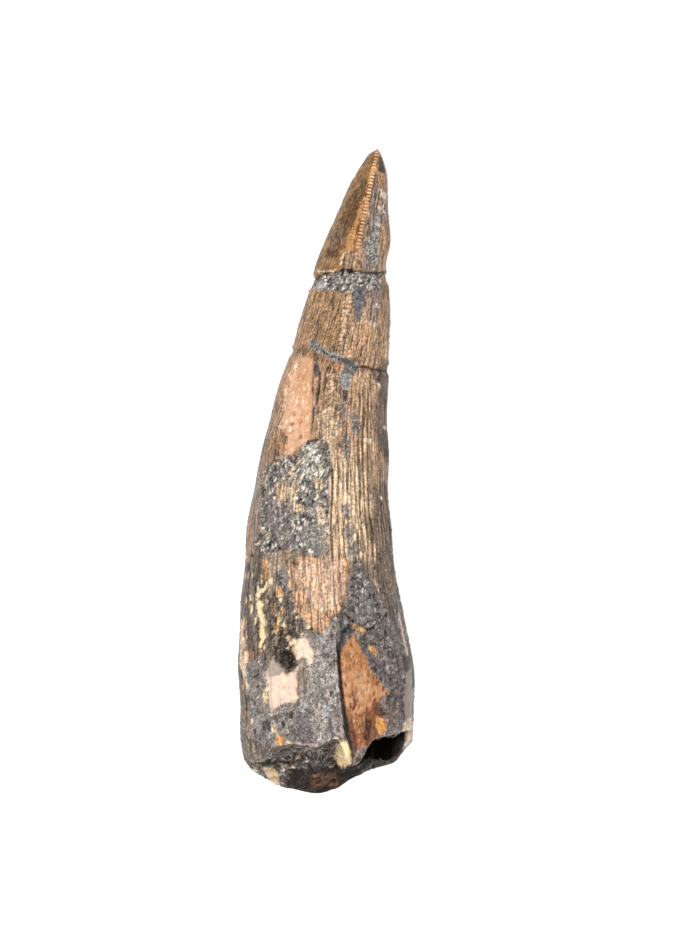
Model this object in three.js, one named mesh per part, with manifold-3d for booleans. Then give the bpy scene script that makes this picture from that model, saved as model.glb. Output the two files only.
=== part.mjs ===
// A fossil phytosaur tooth, one solid piece, lying on its side.
// Millimetres, +Z up. The tip points to +Y, the outer curve of the crown is on -X, and one
// toothed edge (the front keel) faces up while the other faces down.
// The origin is the middle of the tooth's outline, on the surface that it lies on.
import * as THREE from "three";
import Module from "manifold-3d";
import { mergeVertices } from "three/addons/utils/BufferGeometryUtils.js";

// Driving dimensions
const toothLength = 52; // tip to the far end of the broken root
const rootWidth = 14.15; // across the widest place, along X
const rootDepth = 12.6; // front keel to rear keel at the root, along Z

// Mesh fineness
const columnsPerSide = 28;
const columnCrowding = 0.5; // 0 spreads the columns evenly, 1 packs them at the front keel
const leaningFrom = 0.82; // from this share of the length on, the rings lean to the broken rim
const leaningRings = 9;
const capRings = 6;

// The outline seen from above. Each row is: share of the length from the tip,
// then the left and right edges as shares of the root's width.
const outline = [
  [0.0, 0.287, 0.289],
  [0.006, 0.247, 0.305],
  [0.016, 0.217, 0.322],
  [0.038, 0.168, 0.344],
  [0.067, 0.111, 0.35],
  [0.106, 0.048, 0.355],
  [0.142, -0.009, 0.358],
  [0.179, -0.064, 0.34],
  [0.2, -0.082, 0.356],
  [0.235, -0.111, 0.361],
  [0.308, -0.201, 0.355],
  [0.383, -0.286, 0.349],
  [0.457, -0.36, 0.348],
  [0.531, -0.417, 0.35],
  [0.606, -0.457, 0.372],
  [0.679, -0.479, 0.401],
  [0.754, -0.496, 0.468],
  [0.827, -0.5, 0.497],
  [0.902, -0.484, 0.491],
  [1.0, -0.452, 0.462],
];

// The side view. Each row is: share of the length from the tip, then the undersurface and
// the top as shares of the root's depth. Below zero is cut away flat.
const sideProfile = [
  [0.0, 0.118, 0.122],
  [0.006, 0.088, 0.158],
  [0.016, 0.066, 0.19],
  [0.038, 0.043, 0.242],
  [0.067, 0.029, 0.3],
  [0.106, 0.023, 0.365],
  [0.142, 0.022, 0.425],
  [0.2, 0.024, 0.5],
  [0.308, 0.026, 0.632],
  [0.383, 0.024, 0.71],
  [0.531, 0.014, 0.836],
  [0.65, -0.012, 0.915],
  [0.754, -0.044, 0.972],
  [0.827, -0.05, 0.994],
  [0.902, -0.044, 1.0],
  [1.0, -0.01, 0.985],
];

// The front keel's place across the tooth: share of the length, share of the root's width.
const frontKeel = [
  [0.0, 0.288],
  [0.042, 0.259],
  [0.088, 0.225],
  [0.135, 0.191],
  [0.175, 0.163],
  [0.235, 0.129],
  [0.304, 0.077],
  [0.358, 0.043],
  [0.42, 0.026],
  [0.52, 0.02],
  [0.621, 0.02],
  [0.729, 0.037],
  [0.8, 0.065],
  [0.867, 0.094],
  [0.921, 0.128],
  [1.0, 0.16],
];

// The broken root's rim: share of the root's width, then the share of the length that the
// upper and the lower side reach there.
const brokenRim = [
  [-0.5, 0.925, 0.925],
  [-0.465, 0.938, 0.948],
  [-0.43, 0.95, 0.962],
  [-0.37, 0.944, 0.973],
  [-0.29, 0.925, 0.985],
  [-0.19, 0.92, 0.993],
  [-0.05, 0.924, 1.0],
  [0.06, 0.912, 0.991],
  [0.1, 0.93, 0.985],
  [0.14, 0.952, 0.975],
  [0.18, 0.948, 0.965],
  [0.225, 0.928, 0.957],
  [0.27, 0.914, 0.952],
  [0.34, 0.908, 0.947],
  [0.4, 0.904, 0.94],
  [0.46, 0.9, 0.918],
  [0.5, 0.898, 0.905],
];

// Relief, in millimetres
const keelRidge = { height: 0.34, halfWidth: 0.34, fadesFrom: 0.38, gone: 0.5 };
const rearRidge = { height: 0.28, halfWidth: 0.34, fadesFrom: 0.45, gone: 0.6 };
const upperBreak = { depth: 0.24, halfWidth: 0.42, at: 0.206, lean: -0.016 };
const lowerBreak = { depth: 0.16, halfWidth: 0.3, at: 0.325, lean: 0.05 };
const brokenEnd = { dish: 0.55, lumps: 0.2 };
const pulpHollow = { x: 4.3, y: -21.9, z: 6.0, halfX: 1.95, halfY: 4.1, halfZ: 3.1 };
const rootPit = { x: -3.15, y: -15.1, z: 12.1, halfX: 0.62, halfY: 1.55, halfZ: 1.0, turn: -12 };

// Areas of the upper side that stand proud (positive lift) or have broken away (negative),
// as outlines of x, y in millimetres.
const reliefAreas = {
  flakedWindow: {
    lift: -0.16,
    points: [
      [-2.1, 9.4], [-1.1, 9.2], [-1.2, 6.4], [-1.1, 4.0], [-1.5, 2.3],
      [-2.9, 1.4], [-3.4, 2.8], [-3.9, 3.6], [-3.5, 5.7], [-2.9, 7.8],
    ],
  },
  crustBesideKeel: {
    lift: -0.22,
    points: [
      [-2.3, 1.5], [-1.0, 2.6], [0.2, 2.3], [0.35, 0.2], [0.2, -4.9], [0.0, -6.9],
      [-1.0, -6.9], [-2.7, -6.3], [-5.4, -6.0], [-5.2, -1.0], [-3.5, 1.2],
    ],
  },
  crustLump: {
    lift: 0.34,
    points: [
      [3.0, -7.1], [3.9, -8.8], [4.5, -10.1], [4.9, -11.4], [3.3, -12.7], [2.0, -12.0],
      [1.4, -11.4], [0.9, -11.8], [1.4, -11.1], [1.7, -10.0], [1.9, -8.1],
    ],
  },
  chipAboveBreak: {
    lift: -0.18,
    points: [[1.2, 17.1], [2.0, 17.9], [2.3, 17.6], [2.5, 16.2], [1.3, 16.2]],
  },
  paleFlake: {
    lift: -0.15,
    points: [
      [-4.3, -15.2], [-2.9, -16.1], [-2.3, -15.5], [-2.4, -18.0],
      [-3.5, -18.6], [-4.6, -19.2], [-4.9, -16.4],
    ],
  },
  openedRoot: {
    lift: -0.95,
    points: [
      [1.2, -12.9], [1.9, -12.2], [3.3, -12.9], [4.4, -13.3], [5.6, -14.6], [6.1, -16.6], [6.35, -19.8],
      [6.1, -26.5], [1.95, -26.5], [1.85, -22.0], [1.38, -19.2], [1.05, -16.4], [0.95, -14.6],
    ],
  },
};

function fromTip(share) {
  return toothLength * (0.5 - share);
}

function shareAt(y) {
  return 0.5 - y / toothLength;
}

// The value in one column of a table at t, on a smooth curve through the rows.
function along(table, t, column) {
  const last = table.length - 1;
  const held = Math.min(Math.max(t, table[0][0]), table[last][0]);
  const i = table.findIndex((row, k) => k === last - 1 || held <= table[k + 1][0]);
  const slope = (k) => {
    const before = table[Math.max(k - 1, 0)];
    const after = table[Math.min(k + 1, last)];
    return (after[column] - before[column]) / (after[0] - before[0]);
  };
  const width = table[i + 1][0] - table[i][0];
  const s = (held - table[i][0]) / width;
  const h00 = 2 * s ** 3 - 3 * s ** 2 + 1;
  const h10 = s ** 3 - 2 * s ** 2 + s;
  const h01 = 3 * s ** 2 - 2 * s ** 3;
  const h11 = s ** 3 - s ** 2;
  return (
    h00 * table[i][column] +
    h10 * width * slope(i) +
    h01 * table[i + 1][column] +
    h11 * width * slope(i + 1)
  );
}

// 0 at "from", 1 at "to" and smooth between them, whichever of the two is larger.
function smoothStep(from, to, value) {
  return THREE.MathUtils.smoothstep((value - from) / (to - from), 0, 1);
}

// The tooth's centre and half sizes at one place along it.
function sectionAt(y) {
  const t = shareAt(y);
  const left = along(outline, t, 1) * rootWidth;
  const right = along(outline, t, 2) * rootWidth;
  const under = along(sideProfile, t, 1) * rootDepth;
  const top = along(sideProfile, t, 2) * rootDepth;
  const halfX = Math.max((right - left) / 2, 0);
  const halfZ = Math.max((top - under) / 2, 0);
  const x = (left + right) / 2;
  const keelX = (along(frontKeel, t, 1) * rootWidth - x) / Math.max(halfX, 0.01);
  const keelAngle = Math.acos(THREE.MathUtils.clamp(keelX, -0.9, 0.9));
  return { t, x, z: (top + under) / 2, halfX, halfZ, keelAngle };
}

// The angle of a column. side 1 goes round by the right, side -1 by the left; v runs from
// the front keel (0) to the rear keel (1).
function columnAngle(section, side, v) {
  const rearAngle = -Math.PI / 2;
  if (side > 0) return section.keelAngle + v * (rearAngle - section.keelAngle);
  return section.keelAngle + v * (rearAngle + 2 * Math.PI - section.keelAngle);
}

// A toothed edge's ridge: a narrow crest that dies out along the crown.
function ridgeAt(ridge, t, distance) {
  const size = smoothStep(ridge.gone, ridge.fadesFrom, t) * smoothStep(-0.01, 0.03, t);
  return ridge.height * size * Math.exp(-Math.abs(distance) / ridge.halfWidth);
}

// A mended break: a shallow groove right round the tooth.
function breakAt(groove, t, x) {
  const middle = groove.at + (groove.lean * x) / rootWidth;
  const away = Math.abs(t - middle) * toothLength;
  return -groove.depth * smoothStep(groove.halfWidth * 1.5, groove.halfWidth * 0.5, away);
}

// Slow swells of the real surface, the same on every run.
function swellAt(y, angle) {
  return 0.05 * Math.sin(1.1 * y + 2 * angle) + 0.04 * Math.sin(0.7 * y - 3 * angle + 1);
}

function smoothSurface(y, angle) {
  const s = sectionAt(y);
  return new THREE.Vector3(s.x + s.halfX * Math.cos(angle), y, s.z + s.halfZ * Math.sin(angle));
}

// How far the surface stands out of (or lies under) the smooth form, in millimetres.
function reliefAt(section, angle, point, side) {
  const radius = (section.halfX + section.halfZ) / 2;
  let lift = swellAt(point.y, angle) * smoothStep(0, 0.12, section.t);
  lift += ridgeAt(keelRidge, section.t, (angle - section.keelAngle) * radius);
  const fromRear = side > 0 ? angle + Math.PI / 2 : angle - 1.5 * Math.PI;
  lift += ridgeAt(rearRidge, section.t, fromRear * radius);
  lift += breakAt(upperBreak, section.t, point.x) + breakAt(lowerBreak, section.t, point.x);
  return lift;
}

function surfacePoint(y, side, v) {
  const section = sectionAt(y);
  const angle = columnAngle(section, side, v);
  const point = smoothSurface(y, angle);
  const outward = new THREE.Vector3(section.halfZ * Math.cos(angle), 0, section.halfX * Math.sin(angle));
  outward.normalize();
  return point.addScaledVector(outward, reliefAt(section, angle, point, side));
}

// How far along Y the broken root reaches at a rim point.
function rimY(x, upper) {
  return fromTip(along(brokenRim, THREE.MathUtils.clamp(x / rootWidth, -0.5, 0.5), upper ? 1 : 2));
}

// Places of the rings from the tip down, closer together at the tip and at the two breaks.
function ringPlaces() {
  const shares = [0.003, 0.008, 0.015, 0.025, 0.038];
  const addRings = (upTo, count) => {
    const start = shares[shares.length - 1];
    for (let i = 1; i <= count; i += 1) {
      shares.push(start + (i * (upTo - start)) / count);
    }
  };
  addRings(0.185, 7);
  addRings(0.228, 8);
  addRings(0.3, 3);
  addRings(0.35, 8);
  addRings(leaningFrom, 20);
  return shares.map(fromTip);
}

// The last rings lean over to meet the slanting broken rim.
function leaningY(step, side, v) {
  const start = fromTip(leaningFrom);
  const share = step / leaningRings;
  let y = start;
  for (let i = 0; i < 6; i += 1) {
    const section = sectionAt(y);
    const point = smoothSurface(y, columnAngle(section, side, v));
    y = start + share * (rimY(point.x, point.z > section.z) - start);
  }
  return y;
}

// All columns in order round the tooth: front keel, right side, rear keel, left side. They
// lie closer together towards the front keel.
function columns() {
  const spread = (j) => {
    const share = j / columnsPerSide;
    return THREE.MathUtils.lerp(share, share ** 2, columnCrowding);
  };
  const right = [];
  for (let j = 0; j <= columnsPerSide; j += 1) {
    right.push([1, spread(j)]);
  }
  const left = right.slice(1, -1).reverse().map(([, v]) => [-1, v]);
  return [...right, ...left];
}

// The broken end: the matrix that fills the root, hollowed a little and lumpy.
function brokenEndPoint(rim, centre, ring) {
  const inward = ring / capRings;
  const point = rim.clone().lerp(centre, inward);
  const dish = brokenEnd.dish * smoothStep(0, 0.5, inward);
  const wave = Math.sin(2.3 * point.x + 1) * Math.sin(1.9 * point.z);
  const lumps = brokenEnd.lumps * wave * smoothStep(0, 0.3, inward);
  const upperY = rimY(point.x, true);
  const lowerY = rimY(point.x, false);
  const section = sectionAt(lowerY);
  const across = THREE.MathUtils.clamp((point.x - section.x) / section.halfX, -1, 1);
  const reach = Math.max(section.halfZ * Math.sqrt(1 - across ** 2), 0.4);
  const down = THREE.MathUtils.clamp((section.z + reach - point.z) / (2 * reach), 0, 1);
  const slanting = THREE.MathUtils.lerp(upperY, lowerY, down);
  point.y = THREE.MathUtils.lerp(point.y, slanting, smoothStep(0, 0.25, inward)) + dish + lumps;
  return point;
}

function toothGeometry() {
  const sides = columns();
  const rings = ringPlaces().map((y) => sides.map(([side, v]) => surfacePoint(y, side, v)));
  for (let step = 1; step <= leaningRings; step += 1) {
    rings.push(sides.map(([side, v]) => surfacePoint(leaningY(step, side, v), side, v)));
  }
  const rim = rings[rings.length - 1];
  const centre = rim.reduce((sum, p) => sum.add(p), new THREE.Vector3()).divideScalar(rim.length);
  for (let ring = 1; ring < capRings; ring += 1) {
    rings.push(rim.map((p) => brokenEndPoint(p, centre, ring)));
  }
  const tip = new THREE.Vector3(outline[0][1] * rootWidth, toothLength / 2, sideProfile[0][1] * rootDepth);
  const end = brokenEndPoint(centre, centre, capRings);
  const points = [tip, ...rings.flat(), end];
  const faces = [];
  const count = sides.length;
  const at = (ring, j) => 1 + ring * count + (j % count);
  for (let j = 0; j < count; j += 1) {
    faces.push(0, at(0, j), at(0, j + 1));
    for (let ring = 0; ring < rings.length - 1; ring += 1) {
      faces.push(at(ring, j), at(ring + 1, j), at(ring, j + 1));
      faces.push(at(ring, j + 1), at(ring + 1, j), at(ring + 1, j + 1));
    }
    faces.push(at(rings.length - 1, j), points.length - 1, at(rings.length - 1, j + 1));
  }
  const geometry = new THREE.BufferGeometry().setFromPoints(points);
  geometry.setIndex(faces);
  return geometry;
}

// Booleans
const wasm = await Module();
wasm.setup();

function solidFrom(geometry) {
  const bare = geometry.clone();
  bare.deleteAttribute("normal");
  bare.deleteAttribute("uv");
  const merged = mergeVertices(bare, 1e-4);
  return new wasm.Manifold(
    new wasm.Mesh({
      numProp: 3,
      vertProperties: merged.attributes.position.array,
      triVerts: new Uint32Array(merged.index.array),
    }),
  );
}

function geometryFrom(solid) {
  const mesh = solid.getMesh();
  const geometry = new THREE.BufferGeometry();
  geometry.setAttribute("position", new THREE.BufferAttribute(mesh.vertProperties, 3));
  geometry.setIndex(new THREE.BufferAttribute(mesh.triVerts, 1));
  geometry.computeVertexNormals();
  return geometry;
}

// An upright prism over one area, from the tooth's middle height to above its top.
function prismOver(points) {
  const shape = new THREE.Shape(points.map(([x, y]) => new THREE.Vector2(x, y)));
  const meanY = points.reduce((sum, point) => sum + point[1], 0) / points.length;
  const prism = new THREE.ExtrudeGeometry(shape, { depth: rootDepth, bevelEnabled: false });
  return solidFrom(prism.translate(0, 0, sectionAt(meanY).z));
}

// Raise or sink one area: inside its prism, the surface is the whole tooth's moved up or down.
function shiftArea(solid, whole, area) {
  const moved = solidFrom(whole.clone().translate(0, 0, area.lift));
  const prism = prismOver(area.points);
  if (area.lift > 0) return solid.add(moved.intersect(prism));
  return solid.subtract(prism.subtract(moved));
}

// The root's empty pulp hollow, open at the break.
function hollowCutter() {
  const { x, y, z, halfX, halfY, halfZ } = pulpHollow;
  const hollow = new THREE.SphereGeometry(1, 20, 14).scale(halfX, halfY, halfZ);
  return solidFrom(hollow.translate(x, y, z));
}

// A long pit in the root's crust.
function pitCutter() {
  const { x, y, z, halfX, halfY, halfZ, turn } = rootPit;
  const pit = new THREE.SphereGeometry(1, 12, 8).scale(halfX, halfY, halfZ);
  return solidFrom(pit.rotateZ(THREE.MathUtils.degToRad(turn)).translate(x, y, z));
}

// The flat flake scar underneath, on which the tooth lies.
function floorCutter() {
  const depth = 4;
  const box = new THREE.BoxGeometry(2 * rootWidth, 2 * toothLength, depth);
  return solidFrom(box.translate(0, 0, -depth / 2));
}

function finishedTooth() {
  const whole = toothGeometry();
  const shifted = Object.values(reliefAreas).reduce(
    (solid, area) => shiftArea(solid, whole, area),
    solidFrom(whole),
  );
  const cut = shifted.subtract(hollowCutter()).subtract(pitCutter()).subtract(floorCutter());
  const geometry = geometryFrom(cut);
  geometry.computeBoundingBox();
  const middle = geometry.boundingBox.getCenter(new THREE.Vector3());
  return geometry.translate(-middle.x, -middle.y, 0);
}

const toothMaterial = new THREE.MeshStandardMaterial({ color: 0xa5866c, roughness: 0.6, metalness: 0 });
const tooth = new THREE.Mesh(finishedTooth(), toothMaterial);
tooth.name = "tooth";

const fossil = new THREE.Group();
fossil.add(tooth);

export default fossil;
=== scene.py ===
import math
from functools import partial

import bpy
import numpy as np
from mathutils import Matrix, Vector


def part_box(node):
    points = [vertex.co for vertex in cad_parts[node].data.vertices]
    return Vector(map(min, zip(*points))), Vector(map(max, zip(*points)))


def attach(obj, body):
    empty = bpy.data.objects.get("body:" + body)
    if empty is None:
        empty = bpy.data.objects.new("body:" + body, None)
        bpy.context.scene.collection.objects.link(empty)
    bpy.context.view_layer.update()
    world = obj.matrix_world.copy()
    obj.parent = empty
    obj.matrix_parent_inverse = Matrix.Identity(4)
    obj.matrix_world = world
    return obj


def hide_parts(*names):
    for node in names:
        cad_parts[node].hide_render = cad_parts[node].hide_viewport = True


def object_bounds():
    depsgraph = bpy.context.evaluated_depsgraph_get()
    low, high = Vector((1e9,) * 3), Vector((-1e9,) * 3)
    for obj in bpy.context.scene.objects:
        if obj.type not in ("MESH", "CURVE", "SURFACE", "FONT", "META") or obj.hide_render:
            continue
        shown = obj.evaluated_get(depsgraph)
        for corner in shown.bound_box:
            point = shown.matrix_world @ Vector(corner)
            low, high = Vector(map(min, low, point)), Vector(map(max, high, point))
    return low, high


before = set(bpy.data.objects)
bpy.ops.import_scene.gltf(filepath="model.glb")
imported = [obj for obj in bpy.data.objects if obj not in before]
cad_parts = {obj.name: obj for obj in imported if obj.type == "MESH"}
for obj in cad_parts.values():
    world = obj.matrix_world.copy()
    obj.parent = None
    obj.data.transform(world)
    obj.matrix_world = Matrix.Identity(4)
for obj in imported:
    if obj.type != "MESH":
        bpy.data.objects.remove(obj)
cadLow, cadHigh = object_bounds()
mm = 0.001
toothLow, toothHigh = [np.array(corner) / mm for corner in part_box("tooth")]

toothSize = dict(
    length=toothHigh[1] - toothLow[1],
    width=14.15,  # across the root, as in the part's source
    depth=12.6,
)

photo = dict(
    width=700,
    height=930,
    tipY=149,  # the tooth's first and last rows of pixels
    rootY=794.5,
    middleX=326.5,
)
photo["middleY"] = (photo["tipY"] + photo["rootY"]) / 2
photo["perMm"] = (photo["rootY"] - photo["tipY"]) / toothSize["length"]

# The smooth form: the same stations as the part's source.
toothForm = dict(
    outline=[  # share of the length, left edge, right edge as shares of the width
        (0, 0.287, 0.289), (0.006, 0.247, 0.305), (0.016, 0.217, 0.322), (0.038, 0.168, 0.344),
        (0.067, 0.111, 0.35), (0.106, 0.048, 0.355), (0.142, -0.009, 0.358), (0.179, -0.064, 0.34),
        (0.2, -0.082, 0.356), (0.235, -0.111, 0.361), (0.308, -0.201, 0.355), (0.383, -0.286, 0.349),
        (0.457, -0.36, 0.348), (0.531, -0.417, 0.35), (0.606, -0.457, 0.372), (0.679, -0.479, 0.401),
        (0.754, -0.496, 0.468), (0.827, -0.5, 0.497), (0.902, -0.484, 0.491), (1, -0.452, 0.462),
    ],
    side=[  # share of the length, undersurface, top as shares of the depth
        (0, 0.118, 0.122), (0.006, 0.088, 0.158), (0.016, 0.066, 0.19), (0.038, 0.043, 0.242),
        (0.067, 0.029, 0.3), (0.106, 0.023, 0.365), (0.142, 0.022, 0.425), (0.2, 0.024, 0.5),
        (0.308, 0.026, 0.632), (0.383, 0.024, 0.71), (0.531, 0.014, 0.836), (0.65, -0.012, 0.915),
        (0.754, -0.044, 0.972), (0.827, -0.05, 0.994), (0.902, -0.044, 1), (1, -0.01, 0.985),
    ],
    keel=[  # share of the length, share of the width
        (0, 0.288), (0.042, 0.259), (0.088, 0.225), (0.135, 0.191), (0.175, 0.163), (0.235, 0.129),
        (0.304, 0.077), (0.358, 0.043), (0.42, 0.026), (0.52, 0.02), (0.621, 0.02), (0.729, 0.037),
        (0.8, 0.065), (0.867, 0.094), (0.921, 0.128), (1, 0.16),
    ],
    rim=[  # share of the width, share of the length reached above and below
        (-0.5, 0.925, 0.925), (-0.465, 0.938, 0.948), (-0.43, 0.95, 0.962), (-0.37, 0.944, 0.973),
        (-0.29, 0.925, 0.985), (-0.19, 0.92, 0.993), (-0.05, 0.924, 1), (0.06, 0.912, 0.991),
        (0.1, 0.93, 0.985), (0.14, 0.952, 0.975), (0.18, 0.948, 0.965), (0.225, 0.928, 0.957),
        (0.27, 0.914, 0.952), (0.34, 0.908, 0.947), (0.4, 0.904, 0.94), (0.46, 0.9, 0.918),
        (0.5, 0.898, 0.905),
    ],
)

lowerRim = dict(extra=0.009, begins=0.12, full=0.2)  # it reaches a little further at the right

grid = dict(
    columns=120,  # round the crown, twice as many below doubleFrom
    doubleFrom=0.29,
    crowding=0.5,  # packs columns towards the front keel
    rowStep=0.122,
    tipShares=[0.0012, 0.003, 0.0055],
    leanFrom=0.6,
    capRings=40,
    capMiddle=(0.1, 6.0),  # x and z, in millimetres
    capThins=(0.5, 0.78),  # shares of the way in at which the columns are halved
)


# Small tools for numbers

def smooth(low, high, value):
    t = np.clip((value - low) / (high - low), 0, 1)
    return t * t * (3 - 2 * t)


def blend(a, b, share):
    return a + (b - a) * share


def along(table, t, column):
    # a smooth curve through one column of a table
    rows = np.array(table)
    keys, values = rows[:, 0], rows[:, column]
    slopes = np.gradient(values, keys)
    slopes[1:-1] = (values[2:] - values[:-2]) / (keys[2:] - keys[:-2])
    t = np.clip(t, keys[0], keys[-1])
    i = np.clip(np.searchsorted(keys, t, side="right") - 1, 0, len(keys) - 2)
    width = keys[i + 1] - keys[i]
    s = (t - keys[i]) / width
    bend = s**3 - 2 * s**2 + s
    rise = 3 * s**2 - 2 * s**3
    return (
        blend(values[i], values[i + 1], rise)
        + bend * width * slopes[i]
        + (s**3 - s**2) * width * slopes[i + 1]
    )


def hashed(cell, seed):
    # a fixed number from 0 to 1 for each whole-number cell
    h = cell[..., 0] * 374761393 + cell[..., 1] * 668265263 + cell[..., 2] * 1440662683
    h = (h + seed * 974634777) & 0xFFFFFFFF
    h = ((h ^ (h >> 13)) * 1274126177) & 0xFFFFFFFF
    h = ((h ^ (h >> 15)) * 2246822519) & 0xFFFFFFFF
    return ((h ^ (h >> 16)) & 0xFFFFFF) / 0xFFFFFF


def wave(points, seed):
    # smooth random values from -1 to 1
    cell = np.floor(points).astype(np.int64)
    t = points - cell
    t = t * t * t * (t * (t * 6 - 15) + 10)
    total = np.zeros(len(points))
    for corner in np.ndindex(2, 2, 2):
        step = np.array(corner)
        weight = np.prod(np.where(step, t, 1 - t), axis=1)
        total += weight * hashed(cell + step, seed)
    return total * 2 - 1


def rough(points, seed, octaves=4, fade=0.55):
    # layered random values, roughly from -1 to 1
    total = np.zeros(len(points))
    size = 1.0
    for octave in range(octaves):
        total += size * wave(points * 2.03**octave + 17.3 * octave, seed + octave)
        size *= fade
    return total * 1.35 / ((1 - fade**octaves) / (1 - fade))


def cells(points, seed):
    # distance to the nearest and the second nearest random seed, and the nearest one's number
    home = np.floor(points).astype(np.int64)
    best = np.full(len(points), 9.0)
    second = best.copy()
    number = best.copy()
    for offset in np.ndindex(3, 3, 3):
        cell = home + np.array(offset) - 1
        spot = cell + np.stack([hashed(cell, seed + k) for k in (1, 2, 3)], axis=-1)
        far = np.linalg.norm(points - spot, axis=1)
        nearer = far < best
        second = np.where(nearer, best, np.minimum(second, far))
        number = np.where(nearer, hashed(cell, seed + 4), number)
        best = np.where(nearer, far, best)
    return best, second, number


def linear(colour):
    c = np.array(colour) / 255
    return np.where(c <= 0.04045, c / 12.92, ((c + 0.055) / 1.055) ** 2.4)


# The smooth form of the tooth

def sectionAt(t):
    left = along(toothForm["outline"], t, 1) * toothSize["width"]
    right = along(toothForm["outline"], t, 2) * toothSize["width"]
    under = along(toothForm["side"], t, 1) * toothSize["depth"]
    top = along(toothForm["side"], t, 2) * toothSize["depth"]
    x = (left + right) / 2
    halfX = np.maximum((right - left) / 2, 0.004)
    halfZ = np.maximum((top - under) / 2, 0.004)
    keelX = (along(toothForm["keel"], t, 1) * toothSize["width"] - x) / halfX
    keelAngle = np.arccos(np.clip(keelX, -0.9, 0.9))
    return dict(x=x, z=(top + under) / 2, halfX=halfX, halfZ=halfZ, keelAngle=keelAngle)


def angleAt(section, side, v):
    # side 1 goes round by the right, -1 by the left, v from the front keel to the rear keel
    rear = np.where(side > 0, -math.pi / 2, 1.5 * math.pi)
    return section["keelAngle"] + v * (rear - section["keelAngle"])


def rimShare(x, height):
    # the share of the length at which the broken root ends; height goes from -1 to 1
    across = np.clip(x / toothSize["width"], -0.5, 0.5)
    above = along(toothForm["rim"], across, 1)
    below = along(toothForm["rim"], across, 2)
    below += lowerRim["extra"] * smooth(lowerRim["begins"], lowerRim["full"], across)
    return blend(below, above, smooth(-0.12, 0.12, height))


def columnPlaces(count):
    share = np.linspace(0, 1, count // 2 + 1)
    v = blend(share, share**2, grid["crowding"])
    side = np.ones(len(v))
    return np.concatenate([side, -side[1:-1]]), np.concatenate([v, v[-2:0:-1]])


def ringPlan():
    # the share of the way to the rim, and the number of columns, of every ring
    shares = list(grid["tipShares"])
    step = grid["rowStep"] / toothSize["length"]
    shares += list(np.arange(shares[-1] + 0.6 * step, 1.0 - 0.5 * step, step))
    shares.append(1.0)
    return [(s, grid["columns"] * (1 if s < grid["doubleFrom"] else 2)) for s in shares]


def bodyPoints(rings):
    # the places of the rings' vertices on the smooth form
    side, v, share = [], [], []
    for ringShare, count in rings:
        ringSide, ringV = columnPlaces(count)
        side.append(ringSide)
        v.append(ringV)
        share.append(np.full(count, ringShare))
    side, v, share = map(np.concatenate, (side, v, share))
    rim = np.full(len(share), 0.95)
    for _ in range(6):  # the rings lean over bit by bit to the slanting break
        lean = smooth(grid["leanFrom"], 1.0, share)
        t = share * blend(0.95, rim, lean)
        section = sectionAt(t)
        angle = angleAt(section, side, v)
        x = section["x"] + section["halfX"] * np.cos(angle)
        rim = rimShare(x, np.sin(angle))
    z = section["z"] + section["halfZ"] * np.sin(angle)
    y = toothSize["length"] * (0.5 - t)
    normal = np.stack(
        [section["halfZ"] * np.cos(angle), np.zeros(len(x)), section["halfX"] * np.sin(angle)], axis=1
    )
    normal /= np.linalg.norm(normal, axis=1)[:, None]
    radius = (section["halfX"] + section["halfZ"]) / 2
    fromRear = np.where(side > 0, angle + math.pi / 2, angle - 1.5 * math.pi)
    return dict(
        place=np.stack([x, y, z], axis=1),
        normal=normal,
        t=t,
        angle=angle,
        aroundKeel=(angle - section["keelAngle"]) * radius,
        aroundRear=fromRear * radius,
        height=np.sin(angle),
    )


def stitchRings(counts, first):
    # triangles between neighbouring rings, which have as many columns, twice or half as many
    faces = []
    start = first
    for above, below in zip(counts[:-1], counts[1:]):
        nextStart = start + above
        small = min(above, below)
        j = np.arange(small)
        k = (j + 1) % small
        if above == below:
            a, b, c, d = start + j, start + k, nextStart + j, nextStart + k
            faces += [np.stack([a, c, b], 1), np.stack([b, c, d], 1)]
        elif below == 2 * above:
            a, b = start + j, start + k
            c, m, d = nextStart + 2 * j, nextStart + 2 * j + 1, nextStart + 2 * k
            faces += [np.stack([a, c, m], 1), np.stack([a, m, b], 1), np.stack([b, m, d], 1)]
        else:
            a, m, b = start + 2 * j, start + 2 * j + 1, start + 2 * k
            c, d = nextStart + j, nextStart + k
            faces += [np.stack([a, c, m], 1), np.stack([m, c, d], 1), np.stack([m, d, b], 1)]
        start = nextStart
    return faces, start


# Marks on the surface. Outlines are in photo pixels, and the two names are tones of the palette.
# ragged (how far the edge strays), grain (over what length), soft and the sizes are in pixels.
# lift is in millimetres, and so is above, the height under which a mark stops. crust is how
# grainy a mark is, gloss how smooth, flecks are further tones with their shares, and a mark
# that wraps goes on round the underside.

markDefaults = dict(soft=0.7, ragged=0.5, grain=3.2, strength=1, lift=0, toneSize=4, texture="plain", crust=0,
                    gloss=0, wraps=False, flecks=(), fleckSize=3.5, fleckLength=1.6, above=-9)


def area(first, other, points, **settings):
    # a closed outline filled with two tones
    return {**markDefaults, **settings, "tones": (first, other), "points": points, "closed": True, "width": 0}


def stroke(width, first, other, points, **settings):
    # an open line
    return {**area(first, other, points, **settings), "closed": False, "width": width}


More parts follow.
